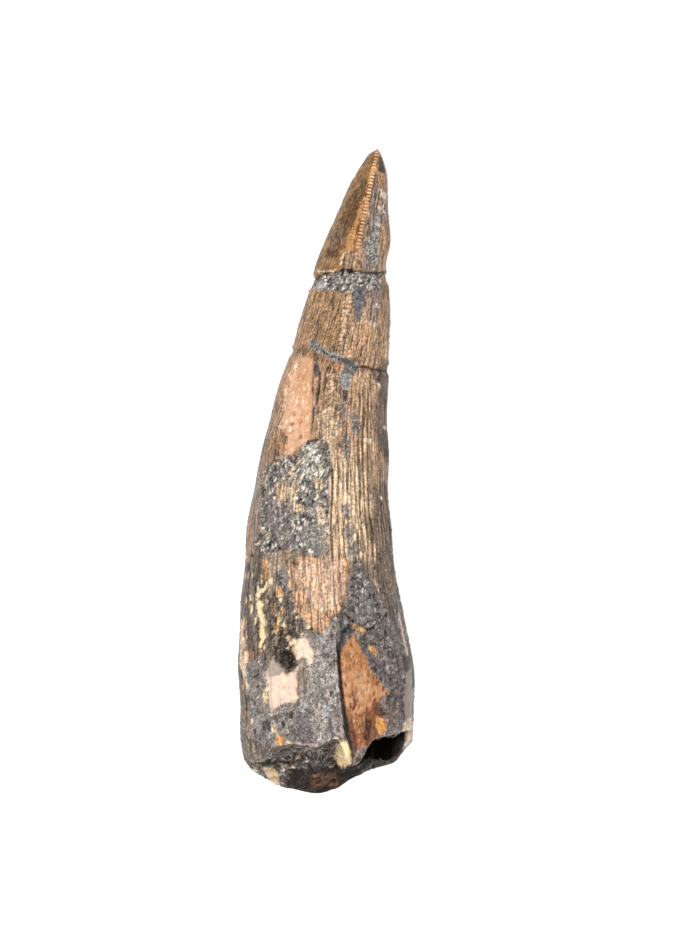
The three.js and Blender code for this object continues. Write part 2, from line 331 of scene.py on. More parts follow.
palette = dict(
    enamel=(200, 158, 122), enamelBrown=(160, 120, 88), enamelDark=(92, 60, 34), tipBrown=(110, 78, 40),
    tipHoney=(162, 122, 72), olive=(150, 122, 76), mauveBrown=(150, 126, 114), greyBrown=(150, 134, 120),
    keelLight=(232, 184, 138), keelTan=(206, 158, 112), honey=(190, 134, 78), amber=(198, 148, 92),
    amberGlass=(244, 160, 74), orange=(226, 168, 100), tan=(222, 188, 152), tanLight=(240, 210, 174),
    tanDark=(160, 130, 104), groove=(92, 76, 64), fluteBrown=(138, 113, 92), pink=(222, 174, 142),
    pinkLight=(248, 216, 188), pinkTan=(206, 158, 116), pinkGrey=(192, 158, 140), white=(250, 240, 230),
    cream=(246, 222, 182), creamPink=(223, 198, 181), creamDark=(226, 188, 138), yellow=(246, 216, 150),
    grey=(158, 149, 142), greyDark=(98, 90, 88), grainGrey=(122, 112, 104), greyLight=(186, 178, 172),
    greyBlue=(120, 124, 128), greyGreen=(128, 130, 120), green=(94, 102, 92), mauve=(130, 114, 110),
    mauveDark=(76, 64, 68), crystal=(222, 226, 204), crystalDark=(120, 120, 104), bone=(214, 156, 112),
    boneDark=(172, 112, 68), boneRed=(140, 82, 48), rust=(116, 62, 42), dirt=(84, 70, 58),
    dirtDark=(52, 43, 37), black=(24, 20, 17), pitch=(20, 15, 12), base=(104, 90, 78),
    baseBrown=(120, 84, 56),
)

tipMarks = [
    area("tipHoney", "tipBrown", [(376, 152), (374, 172), (366, 206), (356, 250), (341, 272), (308, 276),
        (324, 236), (344, 190), (360, 160)], ragged=1.2, soft=1.5, toneSize=7, strength=0.85, gloss=0.22,
        texture="wrinkle"),
    area("greyBrown", "mauveBrown", [(376, 168), (386, 174), (389, 215), (388, 273), (358, 273), (361, 250),
        (364, 230), (369, 200)], ragged=1.5, texture="speckle", strength=0.85),
    area("enamelDark", "dirt", [(378, 154), (382, 160), (385, 171), (382, 175), (378, 170)], ragged=1),
    area("enamelBrown", "keelTan", [(377, 172), (383, 173), (386, 184), (384, 192), (378, 188),
        (375, 181)]),
    area("enamelDark", "tipBrown", [(372, 172), (366, 194), (358, 216), (347, 240), (338, 256), (326, 258),
        (332, 238), (352, 196)], ragged=4, grain=9, strength=0.85, texture="wrinkle"),
    area("mauveBrown", "enamelBrown", [(338, 222), (346, 227), (344, 243), (334, 252), (325, 246),
        (330, 232)], ragged=2.5, strength=0.35, soft=2),
    area("honey", "amber", [(366, 200), (363, 214), (359, 232), (355, 251), (344, 251), (349, 236),
        (355, 222), (361, 206)], ragged=0.8, gloss=0.35, texture="crossLines"),
    stroke(4.6, "amber", "enamelDark", [(376.5, 156), (373, 170), (369, 185), (364.5, 203), (361, 220),
        (357, 238), (355, 251)], ragged=0.4, gloss=0.3),
    area("white", "creamPink", [(379, 189), (382, 188), (385, 193), (388, 197), (387, 201), (383, 198),
        (379, 196)], ragged=1, strength=0.75, lift=0.05),
    stroke(1.3, "white", "tanLight", [(386, 199), (384, 204), (382, 208), (385, 213)]),
    stroke(1.1, "tanLight", "white", [(378, 206), (381, 209), (379, 214)]),
    area("green", "greyLight", [(376, 212), (380, 216), (381, 227), (379, 240), (378, 262), (374, 268),
        (368, 262), (365, 246), (370, 237), (373, 226)], ragged=1.8, texture="speckle", crust=0.5),
    area("enamel", "enamelBrown", [(383, 216), (388, 225), (388, 268), (380, 271), (380, 240), (382, 226)],
        ragged=1.2, texture="streak"),
    area("tanDark", "enamel", [(343, 264), (341, 259), (345, 253), (351, 250), (358, 252), (361, 262),
        (360, 272), (342, 272)], ragged=1, lift=-0.15, texture="speckle"),
    stroke(1.4, "creamPink", "cream", [(341.5, 264), (341, 259), (345, 253.5), (351, 250.5)], lift=0.03),
]

breakMarks = [
    area("grey", "greyDark", [(311, 280), (318, 276), (330, 274), (345, 272), (360, 272), (384, 272),
        (390, 276), (388, 286), (380, 292), (365, 292), (352, 293), (340, 293), (328, 291), (320, 289),
        (311, 290)], ragged=1.3, lift=-0.06, toneSize=3, texture="crumbs", crust=1, wraps=True,
        flecks=[("white", 0.08), ("greyLight", 0.14), ("black", 0.22), ("dirt", 0.2)], fleckSize=2.6,
        fleckLength=0.6),
    stroke(1.9, "dirtDark", "dirt", [(313, 279.5), (318, 275.5), (326, 273), (341, 271.5), (352, 270.5),
        (362, 272), (374, 273), (386, 272)], ragged=0.8, lift=-0.16, wraps=True),
    area("black", "dirtDark", [(341, 269), (352, 268), (354, 273), (341, 274.5)], ragged=0.8, lift=-0.2),
    stroke(1.2, "cream", "tanLight", [(317, 271.5), (325, 271), (332, 272), (336, 270)]),
    area("greyLight", "white", [(314, 283), (325, 282), (325, 288), (314, 288)], ragged=1.6,
        texture="crumbs"),
    area("greyLight", "grey", [(334, 281), (350, 276), (352, 279), (336, 284)], ragged=1.2,
        texture="crumbs"),
    area("white", "greyLight", [(366, 284), (372, 283), (375, 289), (367, 288)], ragged=1.3,
        texture="crumbs"),
    area("greyBlue", "greyDark", [(353, 287), (366, 287), (365, 300), (362, 311), (361, 322), (357, 322),
        (355, 312), (352, 300)], ragged=1, texture="speckle", crust=0.4),
    area("mauveBrown", "greyBrown", [(366, 289), (383, 291), (380, 312), (376, 326), (368, 322), (364, 312),
        (366, 300)], ragged=2, strength=0.85, texture="speckle"),
    area("enamelBrown", "olive", [(384, 277), (389, 277), (390, 292), (383, 291)], ragged=0.8),
    # arcs on the left flank between the breaks, toned darker there as painted shade on that side
    area("enamelBrown", "olive", [(308, 290), (344, 292), (343, 356), (306, 356), (296, 350)], ragged=3,
        soft=3, strength=0.65, texture="arcs"),
    stroke(9, "tan", "enamelBrown", [(349, 295), (347, 308), (346, 325), (344.5, 335), (342, 352)],
        ragged=1.2, strength=0.8, texture="arcs"),
    area("greyDark", "greyLight", [(308, 341.5), (317, 341), (322, 347), (326, 354), (319, 354),
        (311, 348)], ragged=1, lift=-0.08, texture="crumbs", crust=0.8),
    stroke(6, "greyLight", "greyDark", [(312, 343), (322, 350), (331, 355), (341, 359), (354, 364)],
        ragged=1.9, grain=4, lift=-0.05, toneSize=3, texture="crumbs", crust=0.8),
    stroke(1.8, "dirt", "dirtDark", [(321, 350), (331, 356), (341, 359), (352, 362)], ragged=1.4,
        strength=0.7, lift=-0.1),
    area("greyDark", "greyBlue", [(343, 359), (352, 360), (359, 367.5), (354, 375), (340, 375), (345, 368)],
        ragged=1, lift=-0.03, texture="speckle", crust=0.5),
    area("greyBlue", "grey", [(339, 375), (351, 374), (350, 388), (345, 392), (339, 386)], ragged=1,
        texture="speckle", crust=0.6),
    area("dirt", "greyDark", [(342, 390), (349, 390), (347, 402), (343, 400)], ragged=0.8),
    stroke(1.9, "dirt", "dirtDark", [(357, 367), (368, 366.7), (373.6, 369), (387, 371)], ragged=0.7,
        lift=-0.12),
    area("enamelDark", "mauveBrown", [(371.5, 369.5), (385, 371), (385, 376), (381, 383), (378, 384),
        (374, 376)], ragged=0.8, lift=-0.05),
    stroke(2.2, "dirtDark", "dirt", [(383.5, 371), (381, 376), (379, 381)], lift=-0.1),
]

windowMarks = [
    area("pink", "pinkTan", [(307, 355), (300, 356), (298, 362), (294, 369), (290, 375), (287, 384),
        (285, 394), (282.5, 402), (280.4, 414), (279.5, 427), (284.4, 431), (286.7, 437), (284.4, 449),
        (283, 456), (290, 455), (300, 446), (307.4, 442.5), (310.3, 434), (312.5, 418), (313, 408),
        (311, 391), (312, 381), (313, 368), (314, 357)], ragged=0.9, grain=6, toneSize=14, lift=-0.14,
        gloss=0.4, texture="smooth", flecks=[("pinkLight", 0.1), ("pinkTan", 0.08), ("boneDark", 0.025)],
        fleckSize=2.4, fleckLength=4),
    area("pinkTan", "amber", [(306, 360), (313, 360), (312, 400), (312, 440), (304, 440), (304, 400)],
        ragged=3, grain=8, strength=0.35, soft=4, gloss=0.4, texture="smooth"),
    stroke(1.5, "pinkLight", "pinkTan", [(299, 361), (294, 369.5), (290, 377), (286.5, 388), (283, 402),
        (281, 414), (280, 427)], ragged=1.1, strength=0.8),
    area("boneDark", "amber", [(290.5, 412), (293.5, 412), (294, 415.5), (291, 416)], lift=-0.05),
    area("boneDark", "amber", [(289, 423), (294, 423), (294, 425), (289, 425.5)], lift=-0.05),
    area("boneDark", "amber", [(299, 434), (302, 436), (301, 440), (298.5, 438)], lift=-0.05),
    area("amber", "enamelBrown", [(276, 430), (284, 431), (287, 437), (285, 450), (278, 452), (274, 440)],
        ragged=1.2, strength=0.85, texture="streak"),
    area("greyDark", "dirt", [(275, 450), (279, 449), (280, 455), (277, 458), (275, 455)]),
    area("greyDark", "dirtDark", [(313, 364), (319, 363), (320.5, 374), (317, 377), (313, 372)], ragged=1,
        lift=-0.05, texture="speckle"),
    stroke(1.7, "dirt", "dirtDark", [(319.5, 372), (319.8, 380), (318.5, 391), (316.5, 403)], ragged=0.8,
        lift=-0.1),
    stroke(2, "dirt", "dirtDark", [(328, 367), (325.5, 374), (325.6, 381), (324.5, 390)], ragged=0.8,
        lift=-0.1),
    stroke(1, "dirt", "groove", [(324.5, 388), (323, 404), (321.2, 414), (320.3, 440)], ragged=0.3,
        lift=-0.08),
    area("greyDark", "dirt", [(312.6, 407), (315.6, 408), (314, 420), (312.5, 433), (310.6, 432),
        (312, 419)], ragged=0.8),
    area("tan", "enamelDark", [(327, 374), (338, 371), (341, 390), (341, 410), (338, 430), (334, 443),
        (326, 440), (324, 420), (325, 395)], ragged=1.5, strength=0.8, texture="scales"),
    area("tanLight", "enamel", [(315, 414), (332, 406), (340, 430), (336, 448), (330, 464), (322, 446)],
        ragged=2.5, soft=3, strength=0.75, texture="scales", gloss=0.2),
]

# small white spots: worn dots on the keel and painted glints on edges and crust
wornDotsAndGlints = [
    (344.7, 332), (343.3, 341.6), (377, 306), (370, 324), (375, 324), (379, 384.6), (367, 440), (385, 428),
    (371, 441), (347, 300), (346, 312), (382, 498), (318, 285), (345, 272), (370, 287), (383, 281),
    (350, 556), (374, 618), (364, 618), (388, 611), (302, 464), (312, 470), (309, 455),
]

greyPatches = [  # small worn places that show grey
    [(341.5, 400), (346.5, 403), (346, 414), (342, 417), (340, 409)],
    [(336, 421), (343, 419), (342, 428), (337, 429)],
    [(348, 411), (354, 412), (358, 418), (358, 424), (362, 425), (361, 430), (357, 434), (353, 433),
     (352, 424)],
    [(342.6, 433), (347, 434), (350, 440), (350, 452), (348, 460), (343, 458), (344.5, 447)],
    [(341, 505), (350, 503), (352, 514), (347, 520), (342, 516)],
    [(343, 530), (349, 522), (353, 530), (352, 541), (347, 545)],
    [(348, 545), (357, 540), (360, 554), (354, 560), (348, 556)],
]
# each spot a short white stroke, a worn dot or a painted glint
wornDotAndGlintMarks = [
    stroke(2.2, "white", "creamPink", [(x - 0.6, y - 1), (x + 0.6, y + 1)], ragged=0.7, grain=2)
    for x, y in wornDotsAndGlints
]
greyMarks = [
    area("greyDark", "grey", patch, ragged=2, grain=2.6, strength=0.9, texture="speckle", crust=0.6)
    for patch in greyPatches
]

crustMarks = [
    area("grey", "greyDark", [(314, 438), (307, 441), (300, 446), (297, 456), (290, 455), (283, 456),
        (278, 460), (265, 464), (260, 476), (260, 500), (261, 530), (256, 540), (252, 556), (266, 554),
        (280, 550), (293, 549.5), (306, 551), (314.6, 557.5), (327, 557.5), (328, 540), (329, 500),
        (328.6, 478), (331, 469), (331.5, 452), (328.6, 442), (321, 440)], ragged=2.2, grain=5, lift=-0.18,
        texture="crystals", crust=1, flecks=[("white", 0.09), ("tanLight", 0.13), ("black", 0.22),
        ("greyGreen", 0.1)], fleckSize=2.6),
    area("crystal", "crystalDark", [(304, 446), (317, 443), (321, 455), (319, 465), (322, 463), (330, 466),
        (329, 476), (318, 477), (309, 474), (303, 462)], ragged=2.2, lift=0.05, strength=0.85,
        texture="crystals", crust=1, flecks=[("white", 0.2), ("green", 0.14), ("yellow", 0.08),
        ("dirtDark", 0.24)], fleckSize=3),
    area("tan", "tanDark", [(275, 483), (287, 481), (288, 492), (284, 503), (275, 504)], ragged=1,
        lift=0.07, texture="streak"),
    area("cream", "tan", [(288, 490), (292, 482), (297, 481), (299, 489), (294, 500), (289, 504)],
        ragged=1.4, lift=0.05, texture="crystals"),
    area("tanLight", "tan", [(293, 504), (303, 505), (304, 511), (293, 512)], ragged=1.2, lift=0.05),
    area("cream", "tanDark", [(312, 478), (322, 478), (325, 487), (316, 490)], ragged=1.8,
        texture="crystals"),
    area("tanLight", "tan", [(318, 506), (325, 508), (328, 530), (328, 552), (318, 553), (317, 530)],
        ragged=2, strength=0.75, crust=0.5),
    stroke(1.2, "tanLight", "creamPink", [(283, 456), (292, 467)], lift=0.06),
    stroke(1.5, "tanLight", "tan", [(303, 457), (287, 474)], lift=0.06),
    stroke(1.3, "tanLight", "tan", [(299, 469), (288, 479)], lift=0.05),
    area("mauve", "mauveDark", [(266, 500), (290, 503), (292, 520), (290, 545), (276, 545), (266, 525)],
        ragged=3, grain=8, strength=0.8, texture="speckle", crust=1, flecks=[("greyLight", 0.12)],
        fleckSize=3),
    area("greyGreen", "greyDark", [(305, 522), (326, 524), (327, 556), (308, 549), (298, 538)], ragged=3,
        grain=7, strength=0.8, texture="speckle", crust=1),
]

rootMarks = [
    area("pinkTan", "pinkGrey", [(288, 562), (300, 556), (314, 558), (327, 557), (342, 556), (349, 562),
        (349, 576), (346, 589), (346, 600), (342, 609), (335, 614), (330, 624), (322.5, 635), (315, 629),
        (304, 618), (296, 613), (291, 595), (288, 581)], ragged=1.5, toneSize=5, strength=0.95,
        texture="flutes"),
    area("pinkLight", "pink", [(300, 562), (346, 559), (345, 590), (339, 606), (322, 614), (303, 592)],
        ragged=3, grain=6, strength=0.6, texture="speckle", gloss=0.2),
    area("tanDark", "groove", [(240, 555), (262, 552), (265, 575), (256, 600), (243, 606), (239, 590)],
        ragged=2, strength=0.9, texture="streak"),
    area("greyBrown", "dirt", [(238, 550), (250, 562), (258, 552), (266, 568), (272, 600), (262, 660),
        (258, 700), (262, 748), (250, 748), (236, 690), (236, 610)], ragged=3, grain=6, strength=0.9,
        texture="streak", flecks=[("cream", 0.1), ("dirtDark", 0.32), ("pinkTan", 0.08), ("boneRed", 0.1)],
        fleckSize=3.2, fleckLength=3.5),
    area("amber", "pink", [(262, 560), (271, 561), (270, 578), (263, 583)], ragged=1.5, strength=0.8,
        texture="streak"),
    area("dirt", "greyBrown", [(262, 596), (292, 590), (298, 614), (314, 630), (300, 637), (284, 632),
        (268, 640), (262, 620)], ragged=2, texture="speckle", strength=0.85, flecks=[("cream", 0.06),
        ("dirtDark", 0.25), ("amber", 0.08)]),
    area("greyDark", "grey", [(278, 570), (289, 571), (289, 590), (284, 596), (278, 586)], ragged=1.5,
        texture="speckle"),
    area("tan", "amber", [(276, 586), (283, 586), (283, 597), (276, 598)], ragged=0.6),
    stroke(1.2, "dirtDark", "dirt", [(275, 584), (275, 602)], lift=-0.08),
    stroke(3.2, "cream", "tan", [(272, 580), (267, 587), (260, 592), (257.6, 598), (258.6, 608)], ragged=2,
        grain=2.5, lift=0.05, gloss=0.35),
    stroke(5.6, "cream", "yellow", [(259, 604), (261.5, 620), (263, 632), (263, 650)], ragged=2, grain=4,
        lift=0.05, gloss=0.35, flecks=[("dirt", 0.14)], fleckLength=3),
    stroke(3.4, "pinkLight", "pinkTan", [(242, 622), (242, 645), (243, 668)], ragged=1.6, gloss=0.3),
    stroke(4.2, "cream", "pinkLight", [(247, 654), (246.8, 668), (247.5, 688)], ragged=1.4, gloss=0.3),
    area("pink", "bone", [(252, 682), (256, 683), (257, 692), (253, 694)], ragged=0.6),
    area("bone", "boneRed", [(248, 650), (254, 652), (255, 668), (249, 672)], ragged=1.5, strength=0.7),
    area("greyDark", "dirt", [(252, 718), (270, 716), (272, 740), (268, 758), (256, 752)], ragged=2.5,
        soft=2, strength=0.5, texture="speckle", crust=0.7),
    area("enamelBrown", "dirt", [(249, 632), (257, 634), (257, 646), (251, 650)], ragged=1.5, strength=0.75,
        texture="streak"),
    area("yellow", "amber", [(274, 615), (279, 613), (281, 626), (277, 637), (273, 632)], ragged=2,
        texture="crumbs", gloss=0.3, flecks=[("dirtDark", 0.3)], fleckSize=3),
    area("grey", "greyDark", [(246, 664), (262, 655), (276, 704), (300, 705), (316, 700), (336, 640),
        (343, 740), (328, 748), (284, 748), (262, 744), (250, 735)], ragged=2, toneSize=9,
        texture="speckle", crust=0.8, flecks=[("greyBrown", 0.16), ("dirtDark", 0.22), ("cream", 0.03)]),
    area("greyLight", "mauve", [(300, 633), (323, 635), (336, 614), (337, 640), (338, 668), (341, 709),
        (344, 741), (318, 748), (306, 744), (300, 700), (304, 660), (314, 652), (306, 638)], ragged=1.5,
        toneSize=11, texture="speckle", crust=0.8, flecks=[("greyBlue", 0.1), ("dirt", 0.18),
        ("greyBrown", 0.18)]),
    area("greyGreen", "tanDark", [(309, 666), (319, 666), (322, 690), (318, 708), (309, 706), (307, 686)],
        ragged=2, toneSize=8, strength=0.45, soft=2, texture="speckle"),
    area("greyBrown", "dirt", [(303, 634), (320, 636), (318, 652), (306, 652)], ragged=2, soft=2,
        strength=0.4, texture="speckle", crust=0.8),
    area("mauveBrown", "greyBrown", [(297, 660), (306, 657), (310, 680), (305, 702), (298, 697)],
        ragged=1.5, strength=0.8, texture="speckle"),
    area("greyLight", "greyBlue", [(320, 660), (325, 660), (326, 668), (321, 669)], ragged=0.6,
        strength=0.8),
    stroke(2.4, "pinkGrey", "creamPink", [(296, 746), (306, 744), (318, 748), (330, 745), (343, 741)],
        ragged=1.2, strength=0.75),
    stroke(1.4, "greyLight", "pinkGrey", [(335.5, 640), (336.5, 663), (338.5, 686), (340.5, 709),
        (343, 738)], ragged=0.6, strength=0.8),
    area("greyDark", "mauveDark", [(297, 710), (305, 712), (314, 728), (318, 744), (300, 744), (292, 740),
        (292, 726)], ragged=2.5, strength=0.75, texture="speckle", crust=0.8),
    area("creamPink", "greyLight", [(330, 689), (324, 697), (329, 699)], ragged=0.4),
    area("cream", "creamPink", [(334, 737), (338, 738), (337, 742), (333, 742)], ragged=0.4),
    area("orange", "amberGlass", [(276, 735), (281, 735), (284, 742), (281, 747), (276, 744)], ragged=0.6,
        lift=0.05),
    area("tanLight", "cream", [(272, 726), (277, 726), (276, 732), (272, 733)], ragged=0.6),
    area("cream", "pink", [(286, 740), (291, 742), (290, 748), (286, 746)], ragged=0.6),
    area("dirt", "dirtDark", [(271, 636), (284, 627), (292, 629), (298, 636), (296, 648), (297, 664),
        (293, 673), (285, 670), (276, 664), (271, 652), (277, 643)], ragged=2.4, lift=-0.18, toneSize=3.4,
        texture="crumbs", crust=0.6, flecks=[("olive", 0.16), ("tan", 0.07), ("black", 0.2)],
        fleckSize=2.8),
    area("dirtDark", "black", [(279, 652), (288, 650), (294, 656), (292, 669), (285, 668)], ragged=2,
        strength=0.8, lift=-0.15, texture="crumbs", flecks=[("dirt", 0.25), ("olive", 0.08)]),
    area("creamPink", "cream", [(291, 638.6), (295, 639.8), (304, 637), (307, 638.6), (310.5, 645.5),
        (314, 653), (313, 664), (308, 666), (307, 659), (302.7, 657), (297, 661), (293, 655.8),
        (292.5, 646)], ragged=0.6, toneSize=8, lift=-0.06, gloss=0.5, texture="smooth"),
    area("creamPink", "pinkLight", [(272.9, 660), (267.7, 666.7), (265.4, 674.8), (266.6, 687.4),
        (269, 699), (271, 713), (278, 707), (284, 704), (290, 702.3), (296.4, 703), (299, 697),
        (296.4, 693), (297.6, 681.7), (296, 678.8), (299, 664), (292.4, 671.3), (285, 675.4), (278, 669)],
        ragged=0.7, toneSize=14, lift=-0.08, gloss=0.5, texture="smooth"),
    area("greyBrown", "grey", [(268, 666), (274, 660), (284, 670), (279, 676), (267, 677)], ragged=1.2,
        strength=0.8, gloss=0.5, texture="smooth"),
    area("creamDark", "cream", [(262, 690), (266, 688), (268, 704), (264, 703)], ragged=0.8),
]

calcite = area("yellow", "creamDark", [(341, 742), (347, 740.5), (350.5, 752), (351.5, 764), (346, 768),
    (339, 766), (335, 757), (336.5, 745)], ragged=0.8, toneSize=7, gloss=0.95, flecks=[("cream", 0.4),
    ("amberGlass", 0.08)])

openRootMarks = [
    area("mauve", "greyDark", [(346, 640), (352, 630), (362, 628), (385, 617), (406, 625), (407, 650),
        (405, 672), (404, 733), (380, 742), (360, 756), (350, 762), (346, 742), (342, 709), (339, 686),
        (337, 655)], ragged=1.2, toneSize=7, texture="crumbs", crust=0.7, lift=0.06, flecks=[("grey", 0.2),
        ("dirtDark", 0.14)]),
    area("bone", "boneDark", [(354, 632), (357.8, 640), (360, 650), (366, 658), (371, 671), (378.5, 681),
        (390, 692), (385, 695), (381.5, 701), (377.7, 707), (389, 720), (386, 730), (378, 739), (359, 750),
        (350, 735), (345.6, 713), (341.5, 694), (339.5, 662), (341.5, 648), (348, 640)], ragged=1,
        toneSize=6, lift=-0.08, texture="pores", gloss=0.45, flecks=[("boneRed", 0.07), ("pinkTan", 0.08),
        ("rust", 0.06)], fleckSize=2.6, fleckLength=2),
    area("boneDark", "honey", [(346, 650), (353, 636), (361, 652), (372, 676), (364, 692), (350, 686),
        (342, 668)], ragged=2.5, soft=3, strength=0.5, texture="pores", gloss=0.45),
    area("boneRed", "boneDark", [(346, 708), (360, 716), (372, 706), (386, 718), (384, 732), (376, 740),
        (359, 750), (351, 738)], ragged=3, grain=7, strength=0.55, soft=2, texture="pores"),
    area("rust", "boneRed", [(352, 691), (357, 693), (358, 700), (356, 706), (353, 703)]),
    area("tan", "bone", [(352, 674), (364, 668), (374, 690), (364, 704), (354, 700)], ragged=3, soft=4,
        strength=0.4, texture="pores", gloss=0.4),
    area("mauveBrown", "dirt", [(382, 694), (396, 700), (398, 730), (388, 732), (380, 712)], ragged=2.5,
        soft=2, strength=0.55, texture="crumbs", crust=0.7),
    area("boneRed", "dirt", [(366, 712), (376, 706), (380, 722), (379, 738), (368, 744), (364, 730)],
        ragged=2, strength=0.75, soft=1.5, texture="streak", gloss=0.3),
    area("dirtDark", "rust", [(366, 719), (372, 721), (369, 741), (364, 740)], ragged=1.2),
    area("dirt", "rust", [(343, 716), (349, 716), (355, 728), (357, 745), (352, 764), (347, 752)],
        ragged=1.5, strength=0.85, texture="streak"),
    area("amberGlass", "orange", [(377, 716), (385, 719), (386, 730), (380, 735), (376, 726)], ragged=0.8,
        gloss=0.2),
    area("rust", "dirtDark", [(372, 700), (378, 702), (386, 716), (378, 716), (372, 708)], ragged=1.4,
        strength=0.7),
    area("amber", "creamDark", [(351.5, 622), (359, 625), (365.5, 628), (363, 634), (356, 630), (352, 628)],
        ragged=0.6, lift=0.05),
    area("amber", "orange", [(367.6, 645.5), (373, 646.5), (378, 653), (375, 656), (369, 650)], lift=0.04),
    # painted shadow along the right side of the ledge
    stroke(3.4, "dirtDark", "black", [(338, 640), (338.6, 663), (340.7, 686), (343, 709), (345.5, 728),
        (348, 742)], ragged=0.9, lift=-0.15),
    # painted shadow at the top of the ledge, in dark grey-blue
    area("greyDark", "greyBlue", [(340, 618), (348, 620), (352, 629), (346, 640), (340, 652), (337, 640)],
        ragged=1.2, texture="speckle"),
    area("dirt", "groove", [(378, 548), (393, 545), (399, 600), (405, 624), (388, 617), (382, 600),
        (377, 575)], ragged=1.5, strength=0.75, texture="streak", crust=0.4, flecks=[("tanDark", 0.28),
        ("grey", 0.1), ("black", 0.08)], fleckSize=2.6, fleckLength=3.5),
    area("grey", "greyDark", [(359, 560), (365, 574), (373, 588), (380, 598), (385, 611), (378, 622),
        (367, 628.5), (358.5, 624.5), (351.5, 619.6), (345, 612.5), (337, 618), (343, 610), (346.6, 597),
        (350, 573)], ragged=1.3, toneSize=6, texture="crystals", crust=1, lift=0.3,
        flecks=[("greyLight", 0.08), ("dirtDark", 0.22), ("mauve", 0.15), ("greyDark", 0.15)]),
    area("greyGreen", "crystalDark", [(358, 600), (370, 598), (372, 618), (362, 620)], ragged=2.5,
        strength=0.4, texture="crystals", crust=1),
    # painted shadow under the grey lump's lower edge
    stroke(1.7, "black", "dirtDark", [(345, 613.5), (351.5, 620.6), (358.5, 625.5), (367, 629.7),
        (374, 627)], ragged=0.6, lift=-0.2),
    stroke(1.2, "cream", "greyLight", [(375.4, 580), (380.3, 596)], lift=0.05),
    area("greyDark", "mauve", [(388, 617), (402, 612), (408, 650), (408, 668), (403, 672), (396, 660)],
        ragged=1.5, texture="crumbs", crust=0.9),
    stroke(2.6, "creamPink", "pinkGrey", [(399, 614), (402.5, 632), (406.5, 654)], ragged=0.7, gloss=0.4),
    area("dirt", "dirtDark", [(402, 655), (409, 656), (409, 668), (404, 672)], ragged=1.2),
    area("greyBrown", "mauve", [(404.5, 674), (410, 668), (414, 690), (413, 720), (406, 722), (404, 700)],
        ragged=0.7, gloss=0.45, texture="smooth"),
    stroke(1.6, "dirtDark", "dirt", [(411.5, 672), (412.6, 688)]),
    area("creamPink", "tanLight", [(403.5, 722), (413, 717), (414, 735), (409, 744), (400, 757), (397, 752),
        (403, 742)], ragged=0.8),
    stroke(1.2, "tan", "rust", [(378, 738.5), (366, 752), (358, 764), (344, 770)]),
    stroke(1.1, "tanDark", "pinkGrey", [(379, 738), (390, 735), (403, 732)], ragged=0.4),
    calcite,
]

endMarks = [
    area("greyBrown", "dirtDark", [(236, 700), (262, 744), (284, 748), (345, 745), (352, 800), (230, 800)],
        toneSize=8, texture="crumbs", crust=0.8, gloss=0.2, flecks=[("white", 0.03), ("cream", 0.04),
        ("greyLight", 0.08), ("black", 0.2), ("boneRed", 0.04)], fleckSize=4.5),
    # painted shadow under the ledge's bottom edge, with pale specks
    stroke(6, "black", "dirtDark", [(268, 763), (284, 763), (306, 757), (328, 758), (338, 767)], ragged=2.5,
        strength=0.85, gloss=-1, flecks=[("greyLight", 0.14), ("tan", 0.05)], fleckSize=3),
    # the pulp hollow, near black: dark matrix with painted shade
    area("pitch", "pitch", [(377.5, 739), (383, 736.5), (402, 733), (404, 745), (399, 754), (390, 757),
        (372, 763), (361, 772), (350, 781), (344, 772), (358, 764), (366, 752)], ragged=0.8),
    stroke(8, "dirtDark", "dirt", [(403, 752), (392, 762), (374, 769), (361, 778), (350, 787)], ragged=1.5,
        strength=0.9, gloss=-1, flecks=[("grey", 0.14), ("black", 0.2)], fleckSize=2.5),
    {**calcite, "above": 2.5},
    area("tanLight", "creamDark", [(262.5, 768), (274, 767.5), (279, 775), (279, 789), (271, 784)],
        ragged=0.8, gloss=0.9, above=1.2),
    area("baseBrown", "dirtDark", [(306, 776), (326, 770), (345, 774), (342, 786), (330, 793), (314, 793)],
        ragged=2, strength=0.95, gloss=-1, texture="crumbs", flecks=[("baseBrown", 0.3), ("boneRed", 0.16),
        ("bone", 0.03), ("black", 0.2)], fleckSize=2.2),
    area("black", "pitch", [(290, 770), (308, 768), (330, 766), (346, 769), (344, 775), (326, 772),
        (306, 778), (296, 784)], ragged=1.6, strength=0.85, gloss=-1),
    area("black", "dirtDark", [(286, 779), (308, 778), (312, 788), (348, 784), (350, 798), (286, 798)],
        ragged=1.6, strength=0.95, gloss=-1),
    area("pitch", "dirtDark", [(338, 767), (350, 765), (362, 770), (352, 782), (342, 790), (336, 778)],
        ragged=1.2, strength=0.95, gloss=-1),
    area("pinkLight", "creamPink", [(405, 733), (414, 722), (416, 738), (410, 747), (401, 757), (404, 745)],
        ragged=0.8, texture="streak", gloss=0.7),
]

